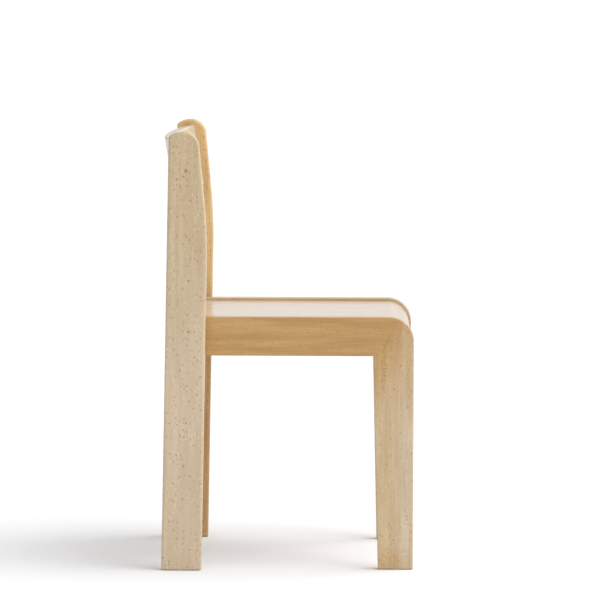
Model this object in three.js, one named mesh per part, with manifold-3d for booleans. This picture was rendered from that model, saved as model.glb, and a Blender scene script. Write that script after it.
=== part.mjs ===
import * as THREE from 'three';
import { mergeVertices } from 'three/addons/utils/BufferGeometryUtils.js';
import Module from 'manifold-3d';

// Choir chair in beech, in millimetres. It is drawn in side view: x runs forward from the rear foot,
// y up from the floor and z to the sitter's right. The last lines stand it up, with +Z up and its
// front to -Y.

// Overall size
const overall_height = 800;
const overall_width = 500;
const overall_depth = 459;
const glide_stand = 1.5;

// Clearances
const glue_gap = 0.2;
const bore_gap = 0.2;
const bore_end_gap = 1;
const cut_overrun = 20;

// Fineness of curves
const curve_sag = 0.05;
const arris_facet = 1;
const round_steps = 12;
const glide_steps = 24;
const weld_distance = 0.0001;

// Posts: parallel up to the knee, tapering above it to a crowned top
const post_thickness = 25;
const post_depth = 73;
const post_arris = 3.5;
const post_lean = THREE.MathUtils.degToRad(0.9);
const post_front_lean = THREE.MathUtils.degToRad(5.4);
const knee_drop = 185;
const knee_radius = 1000;
const post_top_radius = 28;
const post_crown_drop = 9;
const post_corner_radius = 8;

// Side frames: a rail and a leg joined at a mitre under a rounded corner
const frame_thickness = 25;
const frame_arris = 2.5;
const frame_height = 462;
const rail_height = 71;
const rail_rear = 14;
const leg_top_depth = 73;
const leg_foot_depth = 64;
const frame_corner_radius = 44;

// Finger joint along the mitre
const finger_count = 9;
const finger_length = 14;
const finger_tip = 1;
const finger_shoulder = 5;

// Seat: moulded plywood, turned down at the front
const seat_thickness = 11;
const seat_drop = 5.4;
const seat_setback = 5;
const seat_rear = 24;
const seat_side_gap = 0.5;
const seat_front_height = 57;
const seat_edge_radius = 3;

// Back panel: a low board, bent in plan, that leans further back than the posts
const back_thickness = 25;
const back_height = 116;
const back_sagitta = 23.5;
const back_lean = THREE.MathUtils.degToRad(9.8);
const back_setback = 21.6;
const back_top_drop = 10;
const back_edge_radius = 4;

// Cross rails
const cross_rail_thickness = 22;
const cross_rail_place = 34;
const cross_rail_edge_radius = 2;
const cross_rail_lift = 3;
const front_rail_depth = 37;

// Corner blocks
const block_leg = 55;
const block_tip = 8;
const block_height = 28;
const block_edge_radius = 1;
const block_bore_place = 34;
const block_bore_seat = 14;
const block_centre_place = 19;

// Dowels: their radius, length and end chamfer, and where they stand in the side view
const dowel_chamfer = 1;
const lap_dowel_radius = 5;
const lap_dowel_length = 34;
const lap_dowel_edge = 14;
const rail_dowel_radius = 4;
const rail_dowel_length = 34;
const rear_dowel_edge = 16;
const front_dowel_inset = 9.5;
const front_dowel_low = 8.5;
const front_dowel_pitch = 15;
const back_dowel_radius = 4;
const back_dowel_length = 34;
const back_dowel_edge = 28;

// Wood screws
const screw_radius = 2;
const screw_head_radius = 4;
const screw_head_rim = 0.5;
const screw_head_depth = 2.8;
const screw_point = 6;
const lap_screw_length = 40;
const lap_screw_edge = 10;
const lap_screw_low = 17;
const lap_screw_high = 43;
const lap_screw_front = 54;
const block_screw_length = 30;
const seat_screw_bite = 7.5;

// Glides
const glide_radius = 10;
const glide_chamfer = 1;
const glide_cap = 4;
const glide_pin_radius = 2.5;
const glide_pin_length = 14;

// Finishes
const pale_beech = { color: 0xc8b498, roughness: 0.5, metalness: 0 };
const warm_beech = { color: 0xbe9966, roughness: 0.5, metalness: 0 };
const face_veneer = { color: 0xe0d2b8, roughness: 0.4, metalness: 0 };
const bent_beech = { color: 0xe0d2b8, roughness: 0.4, metalness: 0 };
const plain_beech = { color: 0xc6a878, roughness: 0.7, metalness: 0 };
const zinc_steel = { color: 0xb8b8b4, roughness: 0.35, metalness: 1 };
const clear_nylon = { color: 0xd8d4c8, roughness: 0.55, metalness: 0 };

// Levels and places that several pieces share
const knee_height = overall_height - knee_drop;
const post_inner = overall_width / 2 - post_thickness;
const frame_outer = post_inner - glue_gap;
const frame_inner = frame_outer - frame_thickness;
const rail_bottom = frame_height - rail_height;
const leg_rear_top = overall_depth - leg_top_depth;
const leg_rear_foot = overall_depth - leg_foot_depth;
const seat_top = frame_height - seat_drop;
const seat_under = seat_top - seat_thickness;
const seat_front = overall_depth - seat_setback;
const seat_bend_radius = frame_corner_radius - seat_setback;
const seat_bottom = seat_top - seat_front_height;
const under_seat = seat_under - glue_gap;
const cross_rail_bottom = rail_bottom + cross_rail_lift;
const front_rail_front = seat_front - seat_thickness - glue_gap;
const front_rail_rear = front_rail_front - front_rail_depth;
const rear_rail_front = cross_rail_place + cross_rail_thickness;
const block_middle = under_seat - block_height / 2;

const wasm = await Module();
wasm.setup();

// Solids

function solid_of(geometry) {
  const bare = geometry.clone();
  bare.deleteAttribute('normal');
  bare.deleteAttribute('uv');
  const merged = mergeVertices(bare, weld_distance);
  const vertProperties = merged.attributes.position.array;
  const triVerts = Uint32Array.from(merged.index.array);
  return new wasm.Manifold(new wasm.Mesh({ numProp: 3, vertProperties, triVerts }));
}

function geometry_of(solid) {
  const { vertProperties, triVerts } = solid.getMesh();
  const geometry = new THREE.BufferGeometry();
  geometry.setAttribute('position', new THREE.BufferAttribute(vertProperties, 3));
  geometry.setIndex(new THREE.BufferAttribute(triVerts, 1));
  geometry.computeVertexNormals();
  return geometry;
}

function cut(geometry, tools) {
  return geometry_of(tools.reduce((rest, tool) => rest.subtract(solid_of(tool)), solid_of(geometry)));
}

function common(geometry, other) {
  return geometry_of(solid_of(geometry).intersect(solid_of(other)));
}

function piece(name, geometry, finish) {
  const mesh = new THREE.Mesh(geometry, new THREE.MeshStandardMaterial(finish));
  mesh.name = name;
  return mesh;
}

// Outlines

function arc(x, y, radius, from, to) {
  const step = 2 * Math.acos(1 - curve_sag / radius);
  const steps = Math.max(2, Math.ceil(Math.abs(to - from) / step));
  return new THREE.EllipseCurve(x, y, radius, radius, from, to, to < from).getPoints(steps);
}

// A corner that isn't sharp becomes the arc that touches both of its sides
function rounded_corner(before, corner, after, radius) {
  const towards_before = before.clone().sub(corner).normalize();
  const towards_after = after.clone().sub(corner).normalize();
  const half_angle = Math.acos(towards_before.dot(towards_after)) / 2;
  const bisector = towards_before.clone().add(towards_after).normalize();
  const centre = corner.clone().addScaledVector(bisector, radius / Math.sin(half_angle));
  const reach = radius / Math.tan(half_angle);
  const start = corner.clone().addScaledVector(towards_before, reach).sub(centre);
  const end = corner.clone().addScaledVector(towards_after, reach).sub(centre);
  const turn = Math.atan2(start.cross(end), start.dot(end));
  return arc(centre.x, centre.y, radius, start.angle(), start.angle() + turn);
}

// Corners are [x, y] when sharp and [x, y, radius] when rounded
function outline(corners) {
  const places = corners.map(([x, y]) => new THREE.Vector2(x, y));
  const points = corners.flatMap(([, , radius], i) => {
    if (!radius) return [places[i]];
    return rounded_corner(places.at(i - 1), places[i], places[(i + 1) % places.length], radius);
  });
  return new THREE.Shape(points);
}

// Extrusions stand on both sides of the drawing plane

function prism(shape, width) {
  const geometry = new THREE.ExtrudeGeometry(shape, { depth: width, bevelEnabled: false });
  return geometry.translate(0, 0, -width / 2);
}

function board(shape, thickness, arris) {
  const depth = thickness - 2 * arris;
  const geometry = new THREE.ExtrudeGeometry(shape, {
    depth,
    bevelThickness: arris,
    bevelSize: arris,
    bevelOffset: -arris,
    bevelSegments: Math.ceil(arris / arris_facet),
  });
  return geometry.translate(0, 0, -depth / 2);
}

// Turned shapes: pairs of radius and place along the axis, pointed along a direction from a place

function turned(pairs, steps = round_steps) {
  return new THREE.LatheGeometry(pairs.map(([radius, along]) => new THREE.Vector2(radius, along)), steps);
}

const along_axis = new THREE.Vector3(0, 1, 0);

function pointed(geometry, { place, direction }) {
  geometry.applyQuaternion(new THREE.Quaternion().setFromUnitVectors(along_axis, direction));
  return geometry.translate(place.x, place.y, place.z);
}

function dowel(radius, length) {
  const end = length / 2;
  return turned([
    [0, -end],
    [radius - dowel_chamfer, -end],
    [radius, dowel_chamfer - end],
    [radius, end - dowel_chamfer],
    [radius - dowel_chamfer, end],
    [0, end],
  ]);
}

function dowel_bore(radius, length) {
  const end = length / 2 + bore_end_gap;
  return turned([[0, -end], [radius + bore_gap, -end], [radius + bore_gap, end], [0, end]]);
}

function screw(length) {
  return turned([
    [0, 0],
    [screw_head_radius, 0],
    [screw_head_radius, screw_head_rim],
    [screw_radius, screw_head_depth],
    [screw_radius, length - screw_point],
    [0, length],
  ]);
}

// A pilot and countersink, which open to the outside behind the head over the length of the access bore
function screw_bore(length, access) {
  return turned([
    [0, -access],
    [screw_head_radius + bore_gap, -access],
    [screw_head_radius + bore_gap, screw_head_rim + bore_gap],
    [screw_radius + bore_gap, screw_head_depth + bore_gap],
    [screw_radius + bore_gap, length - screw_point],
    [0, length + bore_end_gap],
  ]);
}

function fastening(name, geometry, finish, seat) {
  const mesh = piece(name, geometry, finish);
  mesh.position.copy(seat.place);
  mesh.quaternion.setFromUnitVectors(along_axis, seat.direction);
  return mesh;
}

// Sides and ends of the chair

const sides = [{ side: 'right', sign: 1 }, { side: 'left', sign: -1 }];

function seat_at(x, y, z, direction) {
  return { place: new THREE.Vector3(x, y, z), direction: new THREE.Vector3(...direction) };
}

// Posts

function rear_edge(height) {
  return height * Math.tan(post_lean);
}

function upper_front_edge(height) {
  return post_depth + rear_edge(knee_height) - (height - knee_height) * Math.tan(post_front_lean);
}

// The crown is an arc from above the rounded front to the rear edge, where a smaller arc joins the two
function post_outline() {
  const foot_rear = new THREE.Vector2(rear_edge(glide_stand), glide_stand);
  const foot_front = new THREE.Vector2(post_depth + rear_edge(glide_stand), glide_stand);
  const knee = new THREE.Vector2(post_depth + rear_edge(knee_height), knee_height);
  const shoulder_y = overall_height - post_top_radius;
  const shoulder_x = upper_front_edge(shoulder_y) - post_top_radius / Math.cos(post_front_lean);
  const upper = new THREE.Vector2(upper_front_edge(shoulder_y), shoulder_y);
  const crown_run = shoulder_x - rear_edge(overall_height - post_crown_drop);
  const crown_radius = (crown_run ** 2 + post_crown_drop ** 2) / (2 * post_crown_drop);
  const crown = new THREE.Vector2(shoulder_x, overall_height - crown_radius);
  const inwards = new THREE.Vector2(Math.cos(post_lean), -Math.sin(post_lean));
  const upwards = new THREE.Vector2(Math.sin(post_lean), Math.cos(post_lean));
  const aside = crown.dot(inwards) - post_corner_radius;
  const above = Math.sqrt((crown_radius - post_corner_radius) ** 2 - aside ** 2);
  const corner = crown.clone().addScaledVector(inwards, -aside).addScaledVector(upwards, above);
  const crown_end = corner.clone().sub(crown).angle();
  return new THREE.Shape([
    foot_rear,
    foot_front,
    ...rounded_corner(foot_front, knee, upper, knee_radius),
    ...arc(shoulder_x, shoulder_y, post_top_radius, post_front_lean, Math.PI / 2),
    ...arc(crown.x, crown.y, crown_radius, Math.PI / 2, crown_end).slice(1),
    ...arc(corner.x, corner.y, post_corner_radius, crown_end, Math.PI - post_lean).slice(1),
  ]);
}

// Side frames

const mitre_start = new THREE.Vector2(leg_rear_top, rail_bottom);
const mitre_along = new THREE.Vector2(leg_top_depth, rail_height).normalize();
const mitre_across = new THREE.Vector2(-mitre_along.y, mitre_along.x);

function frame_outline() {
  return outline([
    [rail_rear, rail_bottom],
    [leg_rear_top, rail_bottom],
    [leg_rear_foot, glide_stand],
    [overall_depth, glide_stand],
    [overall_depth, frame_height, frame_corner_radius],
    [rail_rear, frame_height],
  ]);
}

// The mitre's length ends where it leaves the rounded corner
function mitre_length() {
  const corner = new THREE.Vector2(overall_depth, frame_height);
  const centre = corner.subScalar(frame_corner_radius).sub(mitre_start);
  const off_axis = centre.dot(mitre_across);
  return centre.dot(mitre_along) + Math.sqrt(frame_corner_radius ** 2 - off_axis ** 2);
}

// The fingers zigzag about the mitre, from its inner corner to a shoulder under the rounded corner.
// Pairs hold the place along the mitre and the distance from it, towards the rail.
function finger_pairs() {
  const reach = finger_length / 2;
  const lead_share = 1 / 4;
  const pitch = (mitre_length() - finger_shoulder + finger_tip / 2) / (finger_count + lead_share);
  const flank = pitch / 2 - finger_tip;
  const pairs = [[-overall_depth, 0], [0, 0]];
  let along = flank / 2;
  for (let finger = 0; finger < finger_count; finger += 1) {
    pairs.push([along, reach], [along + finger_tip, reach]);
    pairs.push([along + pitch / 2, -reach], [along + pitch / 2 + finger_tip, -reach]);
    along += pitch;
  }
  pairs.push([along, reach], [along + overall_depth, reach]);
  return pairs.map(([x, y]) => new THREE.Vector2(x, y));
}

// A line of points moved sideways by a distance, to its left when that is positive
function moved_sideways(points, distance) {
  const normals = points.slice(1).map((point, i) => {
    const run = point.clone().sub(points[i]).normalize();
    return new THREE.Vector2(-run.y, run.x);
  });
  return points.map((point, i) => {
    const before = normals[Math.max(i - 1, 0)];
    const after = normals[Math.min(i, normals.length - 1)];
    const scale = distance / (1 + before.dot(after));
    return point.clone().addScaledVector(before.clone().add(after), scale);
  });
}

// All that lies on the rail's side of the fingers, or with a sign of -1 on the leg's side
function finger_region(sign) {
  const line = moved_sideways(finger_pairs(), sign * glue_gap / 2);
  const far = [...line].reverse().filter((point, i, all) => i === 0 || i === all.length - 1);
  const closed = [...line, ...far.map((point) => new THREE.Vector2(point.x, sign * overall_depth))];
  const points = closed.map((point) => mitre_start.clone()
    .addScaledVector(mitre_along, point.x)
    .addScaledVector(mitre_across, point.y));
  return prism(new THREE.Shape(points), frame_thickness + cut_overrun);
}

// Seats of the fastenings on one side of the chair

function lap_dowel_seats(sign) {
  const front = post_depth - lap_dowel_edge + rear_edge(frame_height);
  const rear = rail_rear + lap_dowel_edge;
  const outwards = [0, 0, sign];
  return [
    seat_at(rear, rail_bottom + lap_dowel_edge, sign * post_inner, outwards),
    seat_at(front, frame_height - lap_dowel_edge, sign * post_inner, outwards),
  ];
}

function lap_screw_seats(sign) {
  const outwards = [0, 0, sign];
  return [
    seat_at(rail_rear + lap_screw_edge, rail_bottom + lap_screw_high, sign * frame_inner, outwards),
    seat_at(rail_rear + lap_screw_front, rail_bottom + lap_screw_low, sign * frame_inner, outwards),
  ];
}

function rear_dowel_seats(sign) {
  const middle = cross_rail_place + cross_rail_thickness / 2;
  const outwards = [0, 0, sign];
  return [
    seat_at(middle, cross_rail_bottom + rear_dowel_edge, sign * frame_inner, outwards),
    seat_at(middle, under_seat - rear_dowel_edge, sign * frame_inner, outwards),
  ];
}

function front_dowel_seats(sign) {
  const place = front_rail_front - front_dowel_inset;
  const low = cross_rail_bottom + front_dowel_low;
  const outwards = [0, 0, sign];
  return [
    seat_at(place, low, sign * frame_inner, outwards),
    seat_at(place, low + front_dowel_pitch, sign * frame_inner, outwards),
  ];
}

// Back panel: its own drawing has the front face's ends at x = 0, its top at y = 0, and leans about them

const back_half_width = post_inner - glue_gap;
const back_radius = (back_half_width ** 2 + back_sagitta ** 2) / (2 * back_sagitta);
const back_top = overall_height - back_top_drop;
const back_face = upper_front_edge(back_top) - back_setback;

function leaned(geometry) {
  return geometry.rotateZ(back_lean).translate(back_face, back_top, 0);
}

function back_curve(radius, half_width) {
  const reach = Math.asin(half_width / radius);
  return arc(back_radius - back_sagitta, 0, radius, Math.PI - reach, Math.PI + reach);
}

function back_blank() {
  const half_width = back_half_width + cut_overrun;
  const plan = new THREE.Shape([
    ...back_curve(back_radius, half_width),
    ...back_curve(back_radius + back_thickness, half_width).reverse(),
  ]);
  const geometry = board(plan, back_height, back_edge_radius);
  return leaned(geometry.rotateX(Math.PI / 2).translate(0, -back_height / 2, 0));
}

function back_dowel_seats(sign) {
  const bite = back_half_width - back_dowel_length / 4;
  const middle_radius = back_radius + back_thickness / 2;
  const x = back_radius - back_sagitta - Math.sqrt(middle_radius ** 2 - bite ** 2);
  const depths = [back_dowel_edge, back_height / 2, back_height - back_dowel_edge];
  return depths.map((depth) => {
    const place = new THREE.Vector3(x, -depth, 0).applyAxisAngle(new THREE.Vector3(0, 0, 1), back_lean);
    return seat_at(place.x + back_face, place.y + back_top, sign * post_inner, [0, 0, sign]);
  });
}

// Corner blocks stand in the four corners between side rails and cross rails

const block_corners = sides.flatMap(({ side, sign }) => [
  { name: `front_${side}`, x: front_rail_rear - glue_gap, forward: -1, sign },
  { name: `rear_${side}`, x: rear_rail_front + glue_gap, forward: 1, sign },
]);

function block_blank({ x, forward, sign }) {
  const plan = outline([
    [0, 0],
    [forward * block_leg, 0],
    [forward * block_leg, -sign * block_tip],
    [forward * block_tip, -sign * block_leg],
    [0, -sign * block_leg],
  ]);
  const geometry = board(plan, block_height, block_edge_radius).rotateX(Math.PI / 2);
  return geometry.translate(x, block_middle, sign * (frame_inner - glue_gap));
}

function block_screw_seats({ x, forward, sign }) {
  const wall = sign * (frame_inner - glue_gap);
  const along = block_bore_place;
  const off = block_bore_seat;
  return [
    seat_at(x + forward * along, block_middle, wall - sign * off, [0, 0, sign]),
    seat_at(x + forward * off, block_middle, wall - sign * along, [-forward, 0, 0]),
  ];
}

function seat_screw_seat({ x, forward, sign }) {
  const wall = sign * (frame_inner - glue_gap);
  const low = under_seat - block_height;
  return seat_at(x + forward * block_centre_place, low, wall - sign * block_centre_place, [0, 1, 0]);
}

const seat_screw_length = block_height + glue_gap + seat_screw_bite;

// Bores that the fastenings leave in the pieces that they join

function dowel_bores(seats, radius, length) {
  return seats.map((seat) => pointed(dowel_bore(radius, length), seat));
}

function screw_bores(seats, length, access) {
  return seats.map((seat) => pointed(screw_bore(length, access), seat));
}

const lap_bores = sides.flatMap(({ sign }) => [
  ...dowel_bores(lap_dowel_seats(sign), lap_dowel_radius, lap_dowel_length),
  ...screw_bores(lap_screw_seats(sign), lap_screw_length, cut_overrun),
]);
const rear_rail_bores = sides.flatMap(({ sign }) => (
  dowel_bores(rear_dowel_seats(sign), rail_dowel_radius, rail_dowel_length)));
const front_rail_bores = sides.flatMap(({ sign }) => (
  dowel_bores(front_dowel_seats(sign), rail_dowel_radius, rail_dowel_length)));
const back_bores = sides.flatMap(({ sign }) => (
  dowel_bores(back_dowel_seats(sign), back_dowel_radius, back_dowel_length)));
const block_bores = block_corners.flatMap((corner) => (
  screw_bores(block_screw_seats(corner), block_screw_length, block_leg)));
const seat_bores = block_corners.flatMap((corner) => (
  screw_bores([seat_screw_seat(corner)], seat_screw_length, cut_overrun)));

// Glides

function glide() {
  return turned([
    [0, 0],
    [glide_radius - glide_chamfer, 0],
    [glide_radius, glide_chamfer],
    [glide_radius, glide_cap],
    [glide_pin_radius, glide_cap],
    [glide_pin_radius, glide_cap + glide_pin_length],
    [0, glide_cap + glide_pin_length],
  ], glide_steps);
}

function glide_bore() {
  const top = glide_cap + glide_pin_length + bore_end_gap;
  return turned([
    [0, -cut_overrun],
    [glide_radius + bore_gap, -cut_overrun],
    [glide_radius + bore_gap, glide_cap + bore_gap],
    [glide_pin_radius + bore_gap, glide_cap + bore_gap],
    [glide_pin_radius + bore_gap, top],
    [0, top],
  ], glide_steps);
}

const rear_foot_middle = post_depth / 2;
const front_foot_middle = overall_depth - leg_foot_depth / 2;
const post_middle = overall_width / 2 - post_thickness / 2;
const frame_middle = frame_outer - frame_thickness / 2;

function rear_glide_seat(sign) {
  return seat_at(rear_foot_middle, 0, sign * post_middle, [0, 1, 0]);
}

function front_glide_seat(sign) {
  return seat_at(front_foot_middle, 0, sign * frame_middle, [0, 1, 0]);
}

// Pieces

function post({ side, sign }) {
  const blank = board(post_outline(), post_thickness, post_arris).translate(0, 0, sign * post_middle);
  const foot = pointed(glide_bore(), rear_glide_seat(sign));
  return piece(`post_${side}`, cut(blank, [...lap_bores, ...back_bores, foot]), pale_beech);
}

function side_frame({ side, sign }) {
  const blank = board(frame_outline(), frame_thickness, frame_arris);
  const rail_blank = common(blank, finger_region(1)).translate(0, 0, sign * frame_middle);
  const leg_blank = common(blank, finger_region(-1)).translate(0, 0, sign * frame_middle);
  const rail_tools = [...lap_bores, ...rear_rail_bores, ...block_bores];
  const leg_tools = [...front_rail_bores, pointed(glide_bore(), front_glide_seat(sign))];
  return [
    piece(`side_rail_${side}`, cut(rail_blank, rail_tools), warm_beech),
    piece(`front_leg_${side}`, cut(leg_blank, leg_tools), pale_beech),
  ];
}

function seat_panel() {
  const inner_radius = seat_bend_radius - seat_thickness;
  const inner_front = seat_front - seat_thickness;
  const profile = outline([
    [seat_rear, seat_under, seat_edge_radius],
    [inner_front, seat_under, inner_radius],
    [inner_front, seat_bottom, seat_edge_radius],
    [seat_front, seat_bottom, seat_edge_radius],
    [seat_front, seat_top, seat_bend_radius],
    [seat_rear, seat_top, seat_edge_radius],
  ]);
  const blank = prism(profile, 2 * (frame_inner - seat_side_gap));
  return piece('seat_panel', cut(blank, seat_bores), face_veneer);
}

function back_panel() {
  const reach = overall_height;
  const between = new THREE.BoxGeometry(reach, reach, 2 * back_half_width).translate(0, back_top, 0);
  return piece('back_panel', cut(common(back_blank(), between), back_bores), bent_beech);
}

function rear_cross_rail() {
  const profile = outline([
    [cross_rail_place, cross_rail_bottom, cross_rail_edge_radius],
    [rear_rail_front, cross_rail_bottom, cross_rail_edge_radius],
    [rear_rail_front, under_seat],
    [cross_rail_place, under_seat],
  ]);
  const blank = prism(profile, 2 * (frame_inner - glue_gap));
  return piece('rear_cross_rail', cut(blank, [...rear_rail_bores, ...block_bores]), plain_beech);
}

// The front cross rail's upper front edge is rounded to carry the bend of the seat
function front_cross_rail() {
  const profile = outline([
    [front_rail_rear, cross_rail_bottom, cross_rail_edge_radius],
    [front_rail_front, cross_rail_bottom, cross_rail_edge_radius],
    [front_rail_front, under_seat, seat_bend_radius - seat_thickness - glue_gap],
    [front_rail_rear, under_seat],
  ]);
  const blank = prism(profile, 2 * (frame_inner - glue_gap));
  return piece('front_cross_rail', cut(blank, [...front_rail_bores, ...block_bores]), plain_beech);
}

function corner_block(corner) {
  const blank = block_blank(corner);
  return piece(`corner_block_${corner.name}`, cut(blank, [...block_bores, ...seat_bores]), plain_beech);
}

function dowel_row(name, seats, radius, length) {
  return seats.map((seat, i) => (
    fastening(`${name}_${i + 1}`, dowel(radius, length), plain_beech, seat)));
}

function dowels() {
  return sides.flatMap(({ side, sign }) => {
    const rail_seats = [...rear_dowel_seats(sign), ...front_dowel_seats(sign)];
    return [
      ...dowel_row(`lap_dowel_${side}`, lap_dowel_seats(sign), lap_dowel_radius, lap_dowel_length),
      ...dowel_row(`rail_dowel_${side}`, rail_seats, rail_dowel_radius, rail_dowel_length),
      ...dowel_row(`back_dowel_${side}`, back_dowel_seats(sign), back_dowel_radius, back_dowel_length),
    ];
  });
}

function screw_row(name, seats, length) {
  return seats.map((seat, i) => (
    fastening(`${name}_${i + 1}`, screw(length), zinc_steel, seat)));
}

function screws() {
  const seat_screw = screw(seat_screw_length);
  return [
    ...sides.flatMap(({ side, sign }) => (
      screw_row(`lap_screw_${side}`, lap_screw_seats(sign), lap_screw_length))),
    ...block_corners.flatMap((corner) => (
      screw_row(`block_screw_${corner.name}`, block_screw_seats(corner), block_screw_length))),
    ...block_corners.map((corner) => (
      fastening(`seat_screw_${corner.name}`, seat_screw, zinc_steel, seat_screw_seat(corner)))),
  ];
}

function glides() {
  return sides.flatMap(({ side, sign }) => [
    fastening(`glide_rear_${side}`, glide(), clear_nylon, rear_glide_seat(sign)),
    fastening(`glide_front_${side}`, glide(), clear_nylon, front_glide_seat(sign)),
  ]);
}

// The chair stands with its base centred on the origin
const chair = new THREE.Group();
chair.add(
  ...sides.map(post),
  ...sides.flatMap(side_frame),
  seat_panel(),
  back_panel(),
  front_cross_rail(),
  rear_cross_rail(),
  ...block_corners.map(corner_block),
  ...dowels(),
  ...screws(),
  ...glides(),
);
chair.quaternion.setFromRotationMatrix(new THREE.Matrix4().makeBasis(
  new THREE.Vector3(0, -1, 0),
  new THREE.Vector3(0, 0, 1),
  new THREE.Vector3(-1, 0, 0),
));
const extent = new THREE.Box3().setFromObject(chair);
chair.position.y = -(extent.min.y + extent.max.y) / 2;

export default chair;
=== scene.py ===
import math
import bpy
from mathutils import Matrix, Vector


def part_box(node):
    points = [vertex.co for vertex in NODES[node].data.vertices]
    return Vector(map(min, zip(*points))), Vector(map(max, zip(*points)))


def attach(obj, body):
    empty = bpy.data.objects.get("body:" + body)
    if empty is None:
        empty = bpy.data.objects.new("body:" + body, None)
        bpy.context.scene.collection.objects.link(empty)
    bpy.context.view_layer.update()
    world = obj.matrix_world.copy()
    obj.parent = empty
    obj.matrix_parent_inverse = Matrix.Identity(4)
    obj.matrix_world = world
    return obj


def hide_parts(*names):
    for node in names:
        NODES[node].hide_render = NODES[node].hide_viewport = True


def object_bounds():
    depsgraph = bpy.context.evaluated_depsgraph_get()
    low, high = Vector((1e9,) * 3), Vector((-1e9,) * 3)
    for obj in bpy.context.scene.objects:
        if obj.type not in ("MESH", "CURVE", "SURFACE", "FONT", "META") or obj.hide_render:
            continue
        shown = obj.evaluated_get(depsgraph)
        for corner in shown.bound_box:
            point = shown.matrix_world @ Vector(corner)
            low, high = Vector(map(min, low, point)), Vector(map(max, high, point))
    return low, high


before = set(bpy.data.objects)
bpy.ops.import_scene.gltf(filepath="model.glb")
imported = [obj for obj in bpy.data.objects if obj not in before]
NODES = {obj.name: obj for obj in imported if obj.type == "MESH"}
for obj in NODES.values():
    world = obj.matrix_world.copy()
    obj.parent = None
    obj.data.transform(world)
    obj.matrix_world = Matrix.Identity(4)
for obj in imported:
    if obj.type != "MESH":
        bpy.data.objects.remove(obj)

from types import SimpleNamespace

import bmesh
import bpy
import numpy as np
from bpy.props import FloatProperty, FloatVectorProperty, IntProperty, PointerProperty
from mathutils import Matrix, Vector

bl_info = {
    "name": "Choir chair",
    "version": (1, 0, 0),
    "blender": (4, 5, 0),
    "location": "3D View > Sidebar > Choir chair",
    "description": "Builds the pieces, finishes and stage of a beech choir chair",
    "category": "Object",
}

# The chair is drawn in side view: u runs forward from the rear feet, h is the height above the floor and
# w the place towards the sitter's right, all in metres. The legs' front, which is the front of the chair's
# box, lies at u = DEPTH.

CAD_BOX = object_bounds()
LOW, HIGH = CAD_BOX
DEPTH = 0.459
REAR = LOW.y + DEPTH
SIDES = (("right", 1), ("left", -1))
ENDS = (("front", -1), ("rear", 1))
MILLIMETRE = 0.001


def length(name, description, default):
    return FloatProperty(
        name=name, description=description, default=default, min=0, precision=5, unit="LENGTH"
    )


def angle(name, description, degrees):
    return FloatProperty(
        name=name, description=description, default=math.radians(degrees), unit="ROTATION"
    )


def share(name, description, default):
    return FloatProperty(name=name, description=description, default=default, min=0, precision=3)


def tone(name, description, red, green, blue):
    """A colour whose default is given in display values from 0 to 255 and kept as linear light."""
    shown = np.array([red, green, blue]) / 255
    linear = np.where(shown > 0.04045, ((shown + 0.055) / 1.055) ** 2.4, shown / 12.92)
    return FloatVectorProperty(
        name=name, description=description, default=tuple(linear), size=3, min=0, max=1, subtype="COLOR"
    )


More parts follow.
